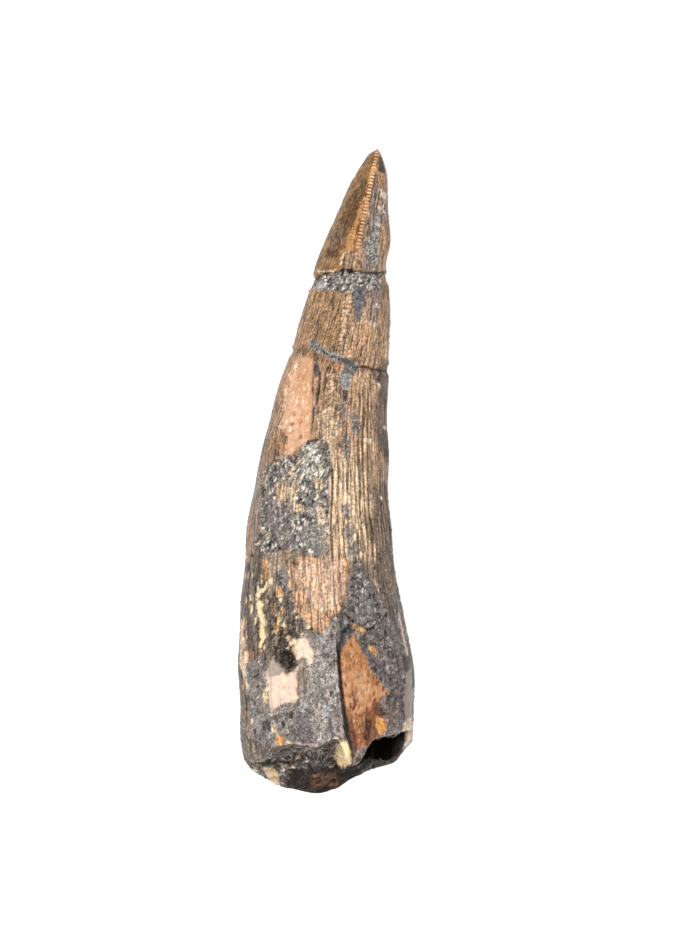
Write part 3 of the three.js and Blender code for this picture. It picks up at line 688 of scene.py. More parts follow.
# Broad tones under the marks, which go right round the tooth
zones = [
    area("greyBrown", "tanDark", [(250, 470), (400, 470), (430, 620), (430, 830), (220, 830), (220, 600)],
        ragged=6, grain=20, soft=10, texture="streak"),
    area("greyBrown", "dirt", [(235, 590), (430, 590), (430, 830), (220, 830)], ragged=6, grain=14, soft=9,
        texture="speckle"),
    area("tan", "tanDark", [(329, 476), (368, 476), (372, 500), (380, 545), (378, 562), (342, 558),
        (329, 556)], ragged=1.5, soft=3, texture="flutes"),
    area("fluteBrown", "dirt", [(374, 470), (400, 466), (402, 548), (398, 564), (378, 562), (376, 548),
        (368, 540), (367, 524), (374, 510)], ragged=3, soft=4, texture="flutes"),
    area("tan", "enamel", [(347, 296), (396, 296), (396, 368), (347, 364)], ragged=3, soft=4, strength=0.4,
        texture="streak"),
    area("tan", "groove", [(352, 372), (396, 372), (396, 482), (340, 482)], ragged=4, soft=6, strength=0.5,
        texture="flutes"),
    area("tanLight", "enamel", [(330, 450), (352, 448), (362, 478), (364, 545), (352, 545), (346, 505),
        (330, 500)], ragged=3, soft=4, strength=0.7, texture="flutes"),
    area("fluteBrown", "dirt", [(384, 360), (400, 360), (400, 462), (380, 456), (374, 430), (377, 404)],
        ragged=2.5, soft=4, strength=0.9, texture="streak"),
    area("enamelBrown", "dirt", [(380, 284), (396, 284), (396, 360), (386, 340)], ragged=2.5, soft=4,
        strength=0.6, texture="streak"),
    area("enamelBrown", "greyBrown", [(262, 400), (284, 395), (284, 470), (266, 556), (236, 560),
        (248, 480)], ragged=3, soft=4, strength=0.85, texture="streak"),
]


# Relief in millimetres, and at, fadesFrom and gone in shares of the length. Ridges, broken end and
# hollow are the source's. The breaks are shallower here, because the marks in them go deeper.
relief = dict(
    frontRidge=dict(height=0.34, halfWidth=0.34, fadesFrom=0.38, gone=0.5),
    rearRidge=dict(height=0.28, halfWidth=0.34, fadesFrom=0.45, gone=0.6),
    breaks=[
        dict(depth=0.16, halfWidth=0.42, at=0.206, lean=-0.016),
        dict(depth=0.13, halfWidth=0.3, at=0.325, lean=0.05),
    ],
    breakWander=0.12,
    swells=[(0.05, 1.1, 2, 0), (0.04, 0.7, -3, 1)],  # height, waves along, waves round, start
    brokenEnd=dict(dish=0.55, lumps=0.2, crumble=0.6, tallest=0.4),
    pulpHollow=dict(x=4.3, y=-21.9, z=6.0, halfX=1.95, halfY=4.1, halfZ=3.1),
    rootPit=dict(x=-3.15, y=-15.1, halfX=0.62, halfY=1.55, depth=0.5),
    flutes=81,  # round the whole tooth
    fluteReach=5.4,  # radius that the flutes' noise is laid round
    fluteDepth=0.045,
    grooveDepth=0.035,
    enamelGrain=0.016,
)

# The opened root right of the ledge, in millimetres, as in the part's source
openedRoot = dict(
    points=[(1.2, -12.9), (1.9, -12.2), (3.3, -12.9), (4.4, -13.3), (5.6, -14.6), (6.1, -16.6), (6.35, -19.8),
            (6.1, -26.5), (1.95, -26.5), (1.85, -22.0), (1.38, -19.2), (1.05, -16.4), (0.95, -14.6)],
    depth=0.95,
    rightSlope=(405, 376),  # photo columns and rows over which it rises to the uncut surface
    topSlope=(612, 636),
)

view = dict(
    distance=1500,  # millimetres from the lens to the height of the tooth's outline
    outlineHeight=5,
    sensor=36,
)


def planOf(place):
    # where a point shows in the photo, in pixels
    scale = view["distance"] / (view["distance"] + view["outlineHeight"] - place[:, 2])
    middleX = (photo["width"] / 2 - photo["middleX"]) / photo["perMm"]
    middleY = (photo["middleY"] - photo["height"] / 2) / photo["perMm"]
    x = photo["width"] / 2 + (place[:, 0] - middleX) * scale * photo["perMm"]
    y = photo["height"] / 2 - (place[:, 1] - middleY) * scale * photo["perMm"]
    return x, y


def edgeDistance(mark, x, y):
    # pixels from the edge of a mark, below zero inside it
    starts = np.array(mark["points"], dtype=float)
    ends = np.roll(starts, -1, axis=0)
    if not mark["closed"]:
        starts, ends = starts[:-1], ends[:-1]
    nearest = np.full(len(x), 1e9)
    inside = np.zeros(len(x), dtype=bool)
    for (x0, y0), (x1, y1) in zip(starts, ends):
        dx, dy = x1 - x0, y1 - y0
        s = np.clip(((x - x0) * dx + (y - y0) * dy) / (dx * dx + dy * dy), 0, 1)
        nearest = np.minimum(nearest, np.hypot(x - x0 - s * dx, y - y0 - s * dy))
        if mark["closed"] and dy:
            inside ^= ((y0 > y) != (y1 > y)) & (x < x0 + (y - y0) / dy * dx)
    return np.where(inside, -nearest, nearest) if mark["closed"] else nearest - mark["width"] / 2


# Scale and fade of a noise, its range of tones, its relief in millimetres, darkness and its range
noiseStyles = {
    "plain": (1.6, 0.55, (-0.6, 0.7), 0.015, 0, (0, -1)),
    "smooth": (1.2, 0.55, (-0.7, 0.8), 0.008, 0, (0, -1)),
    "speckle": (2.4, 0.75, (-0.4, 0.5), 0.04, 0.5, (-0.35, -0.75)),
    "streak": (3.4, 0.65, (-0.45, 0.5), 0.03, 0.3, (-0.3, -0.8)),
}
grainStyles = {  # cells in one tone size, relief in millimetres
    "crumbs": (1.2, 0.11),
    "crystals": (1.5, 0.16),
}


def texture(style, surface, near, size, seed):
    # the share of the second tone, relief in millimetres, and how much darker it is
    place = surface["place"][near]
    spot = place * (photo["perMm"] / size)
    down, across = place[:, 1], surface["aroundKeel"][near]
    if style in noiseStyles:
        scale, fade, tones, height, dark, darkRange = noiseStyles[style]
        n = rough((surface["streaks"][near] if style == "streak" else spot) * scale, seed, 3, fade)
        return smooth(*tones, n), height * n, dark * smooth(*darkRange, n)
    if style in grainStyles:
        scale, height = grainStyles[style]
        nearest, second, number = cells(spot * scale, seed)
        gap = smooth(0.2, 0.02, second - nearest)
        n = rough(spot * 3, seed, 2)
        return np.clip(number + 0.25 * n, 0, 1), height * (0.45 - nearest) + 0.02 * n, 0.45 * gap
    if style == "wrinkle":
        n = rough(surface["wrinkles"][near] * 2.6, seed, 3, 0.7)
        pits = smooth(0.2, 0.1, cells(spot * 0.9, seed)[0])
        return smooth(-0.5, 0.6, n), 0.045 * n - 0.05 * pits, 0.55 * pits
    if style == "crossLines":
        n = np.sin(2 * math.pi * down / 0.27 + 2 * wave(spot * 0.7, seed))
        lines = smooth(0.55, 1.0, n)
        return 0.5 + 0.5 * wave(spot * 1.5, seed + 9), -0.03 * lines, 0.3 * lines
    if style == "arcs":
        n = np.sin(2 * math.pi * (down + 0.28 * across**2) / 0.34 + 2.2 * wave(spot * 0.6, seed))
        return 0.5 - 0.4 * n, 0.03 * n, 0.22 * smooth(-0.4, -1.0, n)
    if style == "scales":
        scaly = np.stack([across * 1.7, (down + 0.3 * across**2) * 3.6, np.zeros(len(place))], axis=1)
        nearest, second, number = cells(scaly, seed)
        edge = smooth(0.25, 0.02, second - nearest)
        return 0.3 * number + 0.5 * edge, 0.19 * (0.45 - nearest), 0.38 * edge
    if style == "pores":
        nearest, second, number = cells(spot * np.array([1.3, 0.65, 1.3]), seed)
        n = rough(spot * 1.4, seed, 3, 0.7)
        pits = smooth(0.42, 0.24, nearest) * smooth(0.35, 0.45, number)
        return smooth(-0.5, 0.6, n), 0.05 * n - 0.12 * pits, 0.6 * pits
    # flutes
    n = surface["flute"][near] + 0.3 * rough(spot * 3, seed, 2)
    return smooth(0.1, -0.9, n), 0.01 * n, 0.45 * smooth(-0.45, -0.9, n)


def addFlecks(tone, mark, place, seed):
    # small blots of other colours, each over its share of the cells
    spot = place * (photo["perMm"] / mark["fleckSize"]) * np.array([1, 1 / mark["fleckLength"], 1])
    spot = spot + 0.35 * np.stack([wave(spot * 2.5, seed + k) for k in (41, 42, 43)], axis=1)
    nearest, second, number = cells(spot, seed + 50)
    edge = smooth(0.02, 0.16, second - nearest)
    low = 0.0
    for name, share in mark["flecks"]:
        chosen = edge * ((number >= low) & (number < low + share))
        tone = blend(tone, linear(palette[name]), chosen[:, None])
        low += share
    return tone


def toneOf(names, share, dark=0):
    # from the first tone to the other by the share, and darker
    first, other = [linear(palette[name]) for name in names]
    return blend(first, other, share[:, None]) * (1 - np.atleast_1d(dark))[:, None]


def paint(surface, marks, seed):
    for mark in marks:
        seed += 7
        corners = np.array(mark["points"], dtype=float)
        margin = 2.5 * mark["ragged"] + mark["soft"] + mark["width"] + 1
        x, y = surface["planX"], surface["planY"]
        near = (x > corners[:, 0].min() - margin) & (x < corners[:, 0].max() + margin)
        near &= (y > corners[:, 1].min() - margin) & (y < corners[:, 1].max() + margin)
        if not mark["wraps"]:
            near &= surface["upper"] > 0.01
        near = np.nonzero(near)[0]
        if not len(near):
            continue
        place = surface["place"][near]
        stray = mark["ragged"] * rough(place * (photo["perMm"] / mark["grain"]), seed, 3, 0.65)
        inside = smooth(mark["soft"], -mark["soft"], edgeDistance(mark, x[near], y[near]) + stray)
        inside *= smooth(mark["above"] - 0.3, mark["above"] + 0.3, place[:, 2] + 0.1 * stray)
        if not mark["wraps"]:
            inside *= surface["upper"][near]
        share, bumps, dark = texture(mark["texture"], surface, near, mark["toneSize"], seed)
        tone = toneOf(mark["tones"], share, dark)
        if mark["flecks"]:
            tone = addFlecks(tone, mark, place, seed)
        cover = inside * mark["strength"]
        surface["tint"][near] = blend(surface["tint"][near], tone, cover[:, None])
        for name, value in (("bumps", bumps), ("crust", mark["crust"]), ("gloss", mark["gloss"])):
            surface[name][near] = blend(surface[name][near], value, cover)
        surface["lift"][near] += inside * mark["lift"]


def capPoints(rim):
    # rings that close the broken end, from inside the displaced rim to the middle
    count = len(rim["place"])
    middle = np.array(grid["capMiddle"])
    columns = np.arange(count)
    parts, counts = [], []
    for k in range(1, grid["capRings"] + 1):
        inward = k / grid["capRings"]
        step = 2 ** sum(inward >= share for share in grid["capThins"])
        chosen = columns[::step] if k < grid["capRings"] else columns[:1]
        flat = blend(rim["place"][chosen][:, [0, 2]], middle, inward)
        parts.append((chosen, np.full(len(chosen), inward), flat))
        counts.append(len(chosen))
    column, inward, flat = [np.concatenate([part[i] for part in parts]) for i in range(3)]
    x, z = flat[:, 0], flat[:, 1]
    section = sectionAt(np.full(len(x), 0.95))
    reach = np.sqrt(np.clip(1 - ((x - section["x"]) / section["halfX"]) ** 2, 0.05, 1))
    height = np.clip((z - section["z"]) / (section["halfZ"] * reach), -1, 1)
    slant = blend(rimShare(x, -1), rimShare(x, 1), smooth(-1.1, 1.1, height))
    share = blend(rim["t"][column], slant, smooth(0, 0.22, inward))
    end = relief["brokenEnd"]
    y = toothSize["length"] * (0.5 - share)
    y += end["dish"] * smooth(0, 0.5, inward)
    y += end["lumps"] * np.sin(2.3 * x + 1) * np.sin(1.9 * z) * smooth(0, 0.15, inward)
    place = np.stack([x, y, z], axis=1)
    broken = np.stack([x, 0.5 * y, z], axis=1)
    nearest, second, number = cells(broken * 1.1, 501)
    crumble = 1.1 * (0.5 - nearest) + 0.9 * (number - 0.5) * smooth(0.02, 0.3, second - nearest)
    crumble += 0.5 * rough(broken * 2.6, 511, 3, 0.6)
    crumble += 0.35 * (0.5 - cells(broken * 2.6, 521)[0])
    crumble = np.where(crumble > 0, end["tallest"] * np.tanh(crumble / end["tallest"]), crumble)
    place[:, 1] -= end["crumble"] * crumble * smooth(0, 0.12, inward)
    hollow = relief["pulpHollow"]
    out = np.hypot((x - hollow["x"]) / hollow["halfX"], (z - hollow["z"]) / hollow["halfZ"])
    deep = hollow["y"] + hollow["halfY"] * np.sqrt(np.clip(1 - out**2, 0, 1))
    place[:, 1] = np.where(out < 1, np.maximum(place[:, 1], deep), place[:, 1])
    return dict(
        place=place,
        normal=np.tile([0.0, -1.0, 0.0], (len(x), 1)),
        t=share,
        angle=rim["angle"][column],
        aroundKeel=rim["aroundKeel"][column],
        aroundRear=rim["aroundRear"][column],
        height=np.ones(len(x)),
        hollow=smooth(1.16, 1.04, out),
        counts=counts,
    )


def crownRelief(surface):
    # keels, breaks, swelling, flutes and the grain of the enamel, along the normal
    t, place = surface["t"], surface["place"]
    lift = np.zeros(len(t))
    for name, distance in (("frontRidge", "aroundKeel"), ("rearRidge", "aroundRear")):
        ridge = relief[name]
        fade = smooth(ridge["gone"], ridge["fadesFrom"], t) * smooth(-0.01, 0.03, t)
        lift += ridge["height"] * fade * np.exp(-np.abs(surface[distance]) / ridge["halfWidth"])
    for gap in relief["breaks"]:
        lean = gap["lean"] * place[:, 0] / toothSize["width"]
        off = np.abs(t - gap["at"] - lean) * toothSize["length"]
        off += relief["breakWander"] * rough(place * 1.6, 61, 3)
        lift -= gap["depth"] * smooth(1.5 * gap["halfWidth"], 0.5 * gap["halfWidth"], off)
    swell = 0
    for height, wavesAlong, wavesRound, start in relief["swells"]:
        swell = swell + height * np.sin(wavesAlong * place[:, 1] + wavesRound * surface["angle"] + start)
    lift += swell * smooth(0, 0.12, t)
    fluted = smooth(0.3, 0.5, t) * smooth(0.8, 0.7, t) * (0.35 + 0.65 * smooth(-2, 2, place[:, 0]))
    lift += relief["fluteDepth"] * fluted * surface["flute"]
    lift -= relief["grooveDepth"] * surface["groove"] * smooth(0, 0.05, t)
    fine = rough(surface["streaks"] * 4.2, 81, 3, 0.7) + 0.7 * rough(place * 5.5, 91, 3, 0.7)
    lift += relief["enamelGrain"] * fine * smooth(0, 0.03, t)
    return lift


enamelLook = dict(
    streakSwing=0.3,
    stainDark=0.3,
    grooveDark=0.35,
    crustSwing=0.36,
)
crownPaint = [  # lists of marks in order, each with the seed of its noise
    (tipMarks, 2000),
    (breakMarks, 2300),
    (windowMarks, 2600),
    (crustMarks, 2900),
    (greyMarks, 4000),
    (rootMarks, 5000),
    (wornDotAndGlintMarks, 5500),
]
openRootSeed = 7000  # the same on the crown and on the end, so the marks meet at the rim


def paintCrown(surface):
    place, look = surface["place"], enamelLook
    tone = toneOf(("enamel", "enamelBrown"), smooth(-0.5, 0.7, rough(place * 1.3, 11, 4, 0.6)))
    streaky = rough(surface["streaks"] * 3.0, 21, 3, 0.7)
    stain = smooth(0.1, 0.7, rough(surface["streaks"] * 1.1, 25, 3, 0.7))
    level = (1 + look["streakSwing"] * streaky) * (1 - look["stainDark"] * stain)
    surface["tint"] = tone * (level * (1 - look["grooveDark"] * surface["groove"]))[:, None]
    paint(surface, [{**zone, "wraps": True} for zone in zones], 1000)
    # patches of matrix on the hidden underside
    below = smooth(0.15, -0.1, surface["height"])
    patch = below * smooth(0.18, 0.32, rough(place * 0.28, 31, 4, 0.6) + 0.25 * surface["t"])
    share, bumps, dark = texture("crystals", surface, np.arange(len(place)), 4, 41)
    surface["tint"] = blend(surface["tint"], toneOf(("grey", "greyDark"), share, dark), patch[:, None])
    surface["bumps"] = blend(surface["bumps"], bumps, patch)
    surface["crust"] = np.maximum(surface["crust"], patch)
    for marks, seed in crownPaint:
        paint(surface, marks, seed)
    surface["tint"] *= (1 + look["crustSwing"] * rough(place * 0.9, 5901, 3, 0.6) * surface["crust"])[:, None]
    opened = dict(points=[photoPoint(x, y) for x, y in openedRoot["points"]], closed=True)
    x, y = surface["planX"], surface["planY"]
    inside = smooth(1.0, -1.0, edgeDistance(opened, x, y) + 0.5 * rough(place * 3, 6001, 2))
    slope = blend(0.25, 1, smooth(*openedRoot["rightSlope"], x))
    slope = slope * smooth(*openedRoot["topSlope"], y - 0.5 * (x - 345))
    surface["drop"] = openedRoot["depth"] * inside * slope * surface["upper"]
    paint(surface, openRootMarks, openRootSeed)


def photoPoint(x, y):
    return photo["middleX"] + x * photo["perMm"], photo["middleY"] - y * photo["perMm"]


def smoothed(values, edges, rounds):
    # averages over neighbouring vertices
    count = np.bincount(edges.ravel(), minlength=len(values))
    for _ in range(rounds):
        total = np.bincount(edges[:, 0], values[edges[:, 1]], len(values))
        total += np.bincount(edges[:, 1], values[edges[:, 0]], len(values))
        values = 0.5 * values + 0.5 * total / count
    return values


def addFields(surface):
    # what the marks and the relief are laid out by, and empty layers to paint
    section = sectionAt(surface["t"])
    turned = surface["angle"] - section["keelAngle"]
    radius = (section["halfX"] + section["halfZ"]) / 2
    wide = relief["fluteReach"] * np.sqrt(radius / radius.max())
    across = np.stack([wide * np.cos(turned), wide * np.sin(turned)], axis=1)
    y = surface["place"][:, 1:2]
    surface["streaks"] = np.concatenate([across, 0.14 * y], axis=1)
    surface["wrinkles"] = np.concatenate([0.3 * across, y], axis=1)
    streaks = surface["streaks"]
    longer = np.concatenate([across, 0.06 * y], axis=1)
    patchy = 0.35 + 0.65 * smooth(-0.5, 0.4, wave(streaks * 0.8, 75))
    turn = turned * relief["flutes"] + 2.2 * wave(longer * 1.2, 71) + 1.0 * wave(longer * 3.1, 73)
    surface["flute"] = 0.9 * patchy * np.cos(turn) + 0.5 * rough(longer * 5.2, 77, 2, 0.7)
    surface["groove"] = smooth(0.13, 0.0, np.abs(rough(longer * 2.8, 79, 2, 0.6)))
    surface["planX"], surface["planY"] = planOf(surface["place"])
    surface["upper"] = smooth(-0.15, 0.1, surface["height"])
    for name in ("lift", "bumps", "crust", "gloss"):
        surface[name] = np.zeros(len(y))
    surface["tint"] = np.zeros((len(y), 3))


def crownSurface(rings):
    # the tip's vertex and the rings down to the rim, painted and displaced
    body = bodyPoints(rings)
    start = sectionAt(np.array([0.0]))
    tip = dict(
        place=np.array([[start["x"][0], toothSize["length"] / 2, start["z"][0]]]),
        normal=np.array([[0.0, 1.0, 0.0]]),
        t=np.zeros(1),
        angle=np.full(1, math.pi / 2),
        aroundKeel=np.zeros(1),
        aroundRear=np.full(1, 0.3),
        height=np.ones(1),
    )
    crown = {name: np.concatenate([tip[name], body[name]]) for name in tip}
    addFields(crown)
    paintCrown(crown)
    lift = crownRelief(crown) + crown["bumps"] + crown["lift"]
    crown["place"] = crown["place"] + crown["normal"] * lift[:, None]
    crown["lined"] = np.clip(1 - crown["crust"] - toothLook["glossClears"] * crown["gloss"], 0, 1)
    pit = relief["rootPit"]
    x, y = crown["place"][:, 0] - pit["x"], crown["place"][:, 1] - pit["y"]
    out = np.hypot(x / pit["halfX"], y / pit["halfY"])
    crown["place"][:, 2] -= crown["drop"] + pit["depth"] * smooth(1.1, 0.2, out) * crown["upper"]
    return crown


endLook = dict(gloss=0.35, crust=0.4, brown=0.5, showsAbove=8.6)


def endSurface(rim):
    # the broken end and the hollow, painted
    end = capPoints(rim)
    addFields(end)
    every = np.arange(len(end["t"]))
    share, bumps, dark = texture("crumbs", end, every, 7, 8001)
    brown = smooth(-0.1, 0.5, rough(end["place"] * 1.4, 8051, 3))[:, None]
    tone = toneOf(("base", "dirtDark"), share, dark)
    end["tint"] = blend(tone, linear(palette["baseBrown"]), endLook["brown"] * brown)
    end["gloss"] += endLook["gloss"]
    end["crust"] += endLook["crust"]
    end["lined"] = np.zeros(len(every))
    paint(end, [{**mark, "above": endLook["showsAbove"]} for mark in openRootMarks], openRootSeed)
    paint(end, endMarks, 8100)
    # the hollow made near black, partly dark matrix and partly painted shade
    end["tint"] = blend(end["tint"], linear(palette["pitch"]), end["hollow"][:, None])
    end["crust"] *= 1 - end["hollow"]
    return end


# painted shade in hollows and painted highlight on edges, baked into the colour
shading = dict(
    rounds=6,  # of averaging, which sets how broad a hollow counts
    hollowDark=9,
    deepest=0.12,
    edgePale=2.2,
    highest=0.1,
)


def shadeByRelief(surface, place, faces):
    # painted shade in hollows and painted highlight on edges, from how far each vertex stands out from its
    # neighbours
    edges = np.concatenate([faces[:, [0, 1]], faces[:, [1, 2]], faces[:, [2, 0]]])
    edges = np.unique(np.sort(edges, axis=1), axis=0)
    middle = np.stack([smoothed(place[:, k], edges, shading["rounds"]) for k in range(3)], axis=1)
    outward = np.sum((place - middle) * surface["facing"], axis=1)
    darker = np.exp(shading["hollowDark"] * np.maximum(outward, -shading["deepest"]))
    paler = 1 + shading["edgePale"] * np.minimum(outward, shading["highest"])
    shade = np.where(outward < 0, darker, paler)
    shade = np.maximum(shade, surface["gloss"])  # clear crystal stays pale
    surface["tint"] *= shade[:, None]


def facingOf(place, faces):
    # the average direction of the faces round each vertex
    corners = place[faces]
    face = np.cross(corners[:, 1] - corners[:, 0], corners[:, 2] - corners[:, 0])
    facing = np.zeros((len(place), 3))
    for k in range(3):
        for axis in range(3):
            facing[:, axis] += np.bincount(faces[:, k], face[:, axis], len(place))
    return facing / np.maximum(np.linalg.norm(facing, axis=1), 1e-9)[:, None]


def makeTooth(material):
    rings = ringPlan()
    crown = crownSurface(rings)
    rimCount = rings[-1][1]
    names = ("place", "t", "angle", "aroundKeel", "aroundRear")
    end = endSurface({name: crown[name][-rimCount:] for name in names})
    layers = ("place", "tint", "crust", "gloss", "lined", "streaks", "t", "aroundKeel", "aroundRear")
    surface = {name: np.concatenate([crown[name], end[name]]) for name in layers}
    place = surface["place"]
    place[:, 2] = np.maximum(place[:, 2], 0.0)  # it lies on a flat scar

    fan = np.arange(rings[0][1])
    faces = [np.stack([np.zeros(len(fan), dtype=int), 1 + fan, 1 + (fan + 1) % len(fan)], axis=1)]
    counts = [count for _, count in rings] + end["counts"][:-1]
    more, last = stitchRings(counts, 1)
    faces += more
    fan = np.arange(counts[-1])
    middle = np.full(len(fan), len(place) - 1)
    faces.append(np.stack([last + fan, middle, last + (fan + 1) % len(fan)], axis=1))
    faces = np.concatenate(faces)

    surface["facing"] = facingOf(place, faces)
    shadeByRelief(surface, place, faces)
    mesh = meshFrom("phytosaurTooth", place, faces)
    roughness = blend(toothLook["enamelRoughness"], toothLook["crustRoughness"], surface["crust"])
    roughness -= toothLook["glossSmooths"] * surface["gloss"] * (1 - surface["crust"])
    floorGap = smooth(0.1, 0.3, place[:, 2])  # no grains where it touches the floor
    addLayer(mesh, "tint", np.concatenate([np.clip(surface["tint"], 0, 1), np.ones((len(place), 1))], axis=1))
    addLayer(mesh, "roughness", roughness)
    addLayer(mesh, "grainShare", surface["crust"] * floorGap)
    for name in ("crust", "lined", "streaks"):
        addLayer(mesh, name, surface[name])
    mesh.materials.append(material)
    mesh.materials.append(hollowMatrixAndShadeMaterial())
    # faces deep in the hollow take the near black material of dark matrix and painted shade
    inHollow = np.concatenate([np.zeros(len(crown["t"])), end["hollow"]])[faces].min(axis=1) > 0.95
    mesh.polygons.foreach_set("material_index", inHollow.astype(np.int32))
    return addObject(mesh), surface


def meshFrom(name, place, faces):
    mesh = bpy.data.meshes.new(name)
    mesh.vertices.add(len(place))
    mesh.vertices.foreach_set("co", (place * mm).ravel())
    mesh.loops.add(faces.size)
    mesh.loops.foreach_set("vertex_index", faces.ravel().astype(np.int32))
    mesh.polygons.add(len(faces))
    mesh.polygons.foreach_set("loop_start", np.arange(0, faces.size, 3, dtype=np.int32))
    mesh.polygons.foreach_set("loop_total", np.full(len(faces), 3, dtype=np.int32))
    mesh.polygons.foreach_set("use_smooth", np.ones(len(faces), dtype=bool))
    mesh.update()
    mesh.validate()
    return mesh


def addLayer(mesh, name, values):
    # one number, vector or colour for each vertex
    kinds = {1: ("FLOAT", "value"), 3: ("FLOAT_VECTOR", "vector"), 4: ("FLOAT_COLOR", "color")}
    kind, field = kinds[values[0].size]
    mesh.attributes.new(name, kind, "POINT").data.foreach_set(field, values.ravel())


def addObject(data, name=None):
    piece = bpy.data.objects.new(name or data.name, data)
    bpy.context.scene.collection.objects.link(piece)
    return piece


# Materials

def newMaterial(name):
    material = bpy.data.materials.new(name)
    material.use_nodes = True
    tree = material.node_tree
    return material, tree, tree.nodes["Principled BSDF"]


def feed(tree, node, inputs):
    # sets or links a node's inputs, by name or number
    for key, value in inputs.items():
        if isinstance(value, bpy.types.NodeSocket):
            tree.links.new(value, node.inputs[key])
        else:
            node.inputs[key].default_value = value


def addNode(tree, kind, inputs=None, **settings):
    node = tree.nodes.new(kind)
    for name, value in settings.items():
        setattr(node, name, value)
    feed(tree, node, inputs or {})
    return node


def combine(tree, operation, a, b):
    return addNode(tree, "ShaderNodeMath", {0: a, 1: b}, operation=operation).outputs[0]


def ranged(tree, value, start, goal, kind="LINEAR"):
    # a value in the first range made one in the second
    inputs = {"Value": value, "From Min": start[0], "From Max": start[1]}
    inputs.update({"To Min": goal[0], "To Max": goal[1]})
    return addNode(tree, "ShaderNodeMapRange", inputs, interpolation_type=kind).outputs["Result"]


toothLook = dict(
    grainSize=0.18,  # millimetres
    mottleSize=0.4,
    streakSize=0.2,
    lineSize=0.34,
    lineWidth=0.05,  # widths are shares of a noise's range
    crackSize=1.9,
    crackWidth=0.012,
    grainContrast=0.42,
    crustContrast=0.2,
    mottleContrast=0.3,
    streakContrast=0.4,
    lineDark=0.72,
    crackDark=0.55,
    gapSize=0.3,
    gapWidth=0.04,
    gapDark=0.6,
    darkest=0.12,
    # painted glints: pale specks and thin bright lines in the colour
    glintFineness=1.4,
    glintRange=(0.62, 0.72),
    glintOnCrust=0.4,
    glintOnEnamel=0.25,
    glintLineSize=0.27,
    glintLineWidth=0.04,
    glintLineShare=0.85,
    glintTone=(0.86, 0.82, 0.74),
    bumpHeight=0.09,
    specular=0.32,
    enamelRoughness=0.52,
    crustRoughness=0.44,
    glossSmooths=0.3,
    glossClears=2.2,  # how fast gloss takes the lines away
)


mottleRange = (0.3, 0.7)  # nearly all of a noise's values


def thinLines(tree, noise, width, dark):
    # dark lines where a noise crosses its middle value
    off = combine(tree, "ABSOLUTE", combine(tree, "SUBTRACT", noise, 0.5), 0)
    return ranged(tree, off, (0, width), (1 - dark, 1), "SMOOTHSTEP")


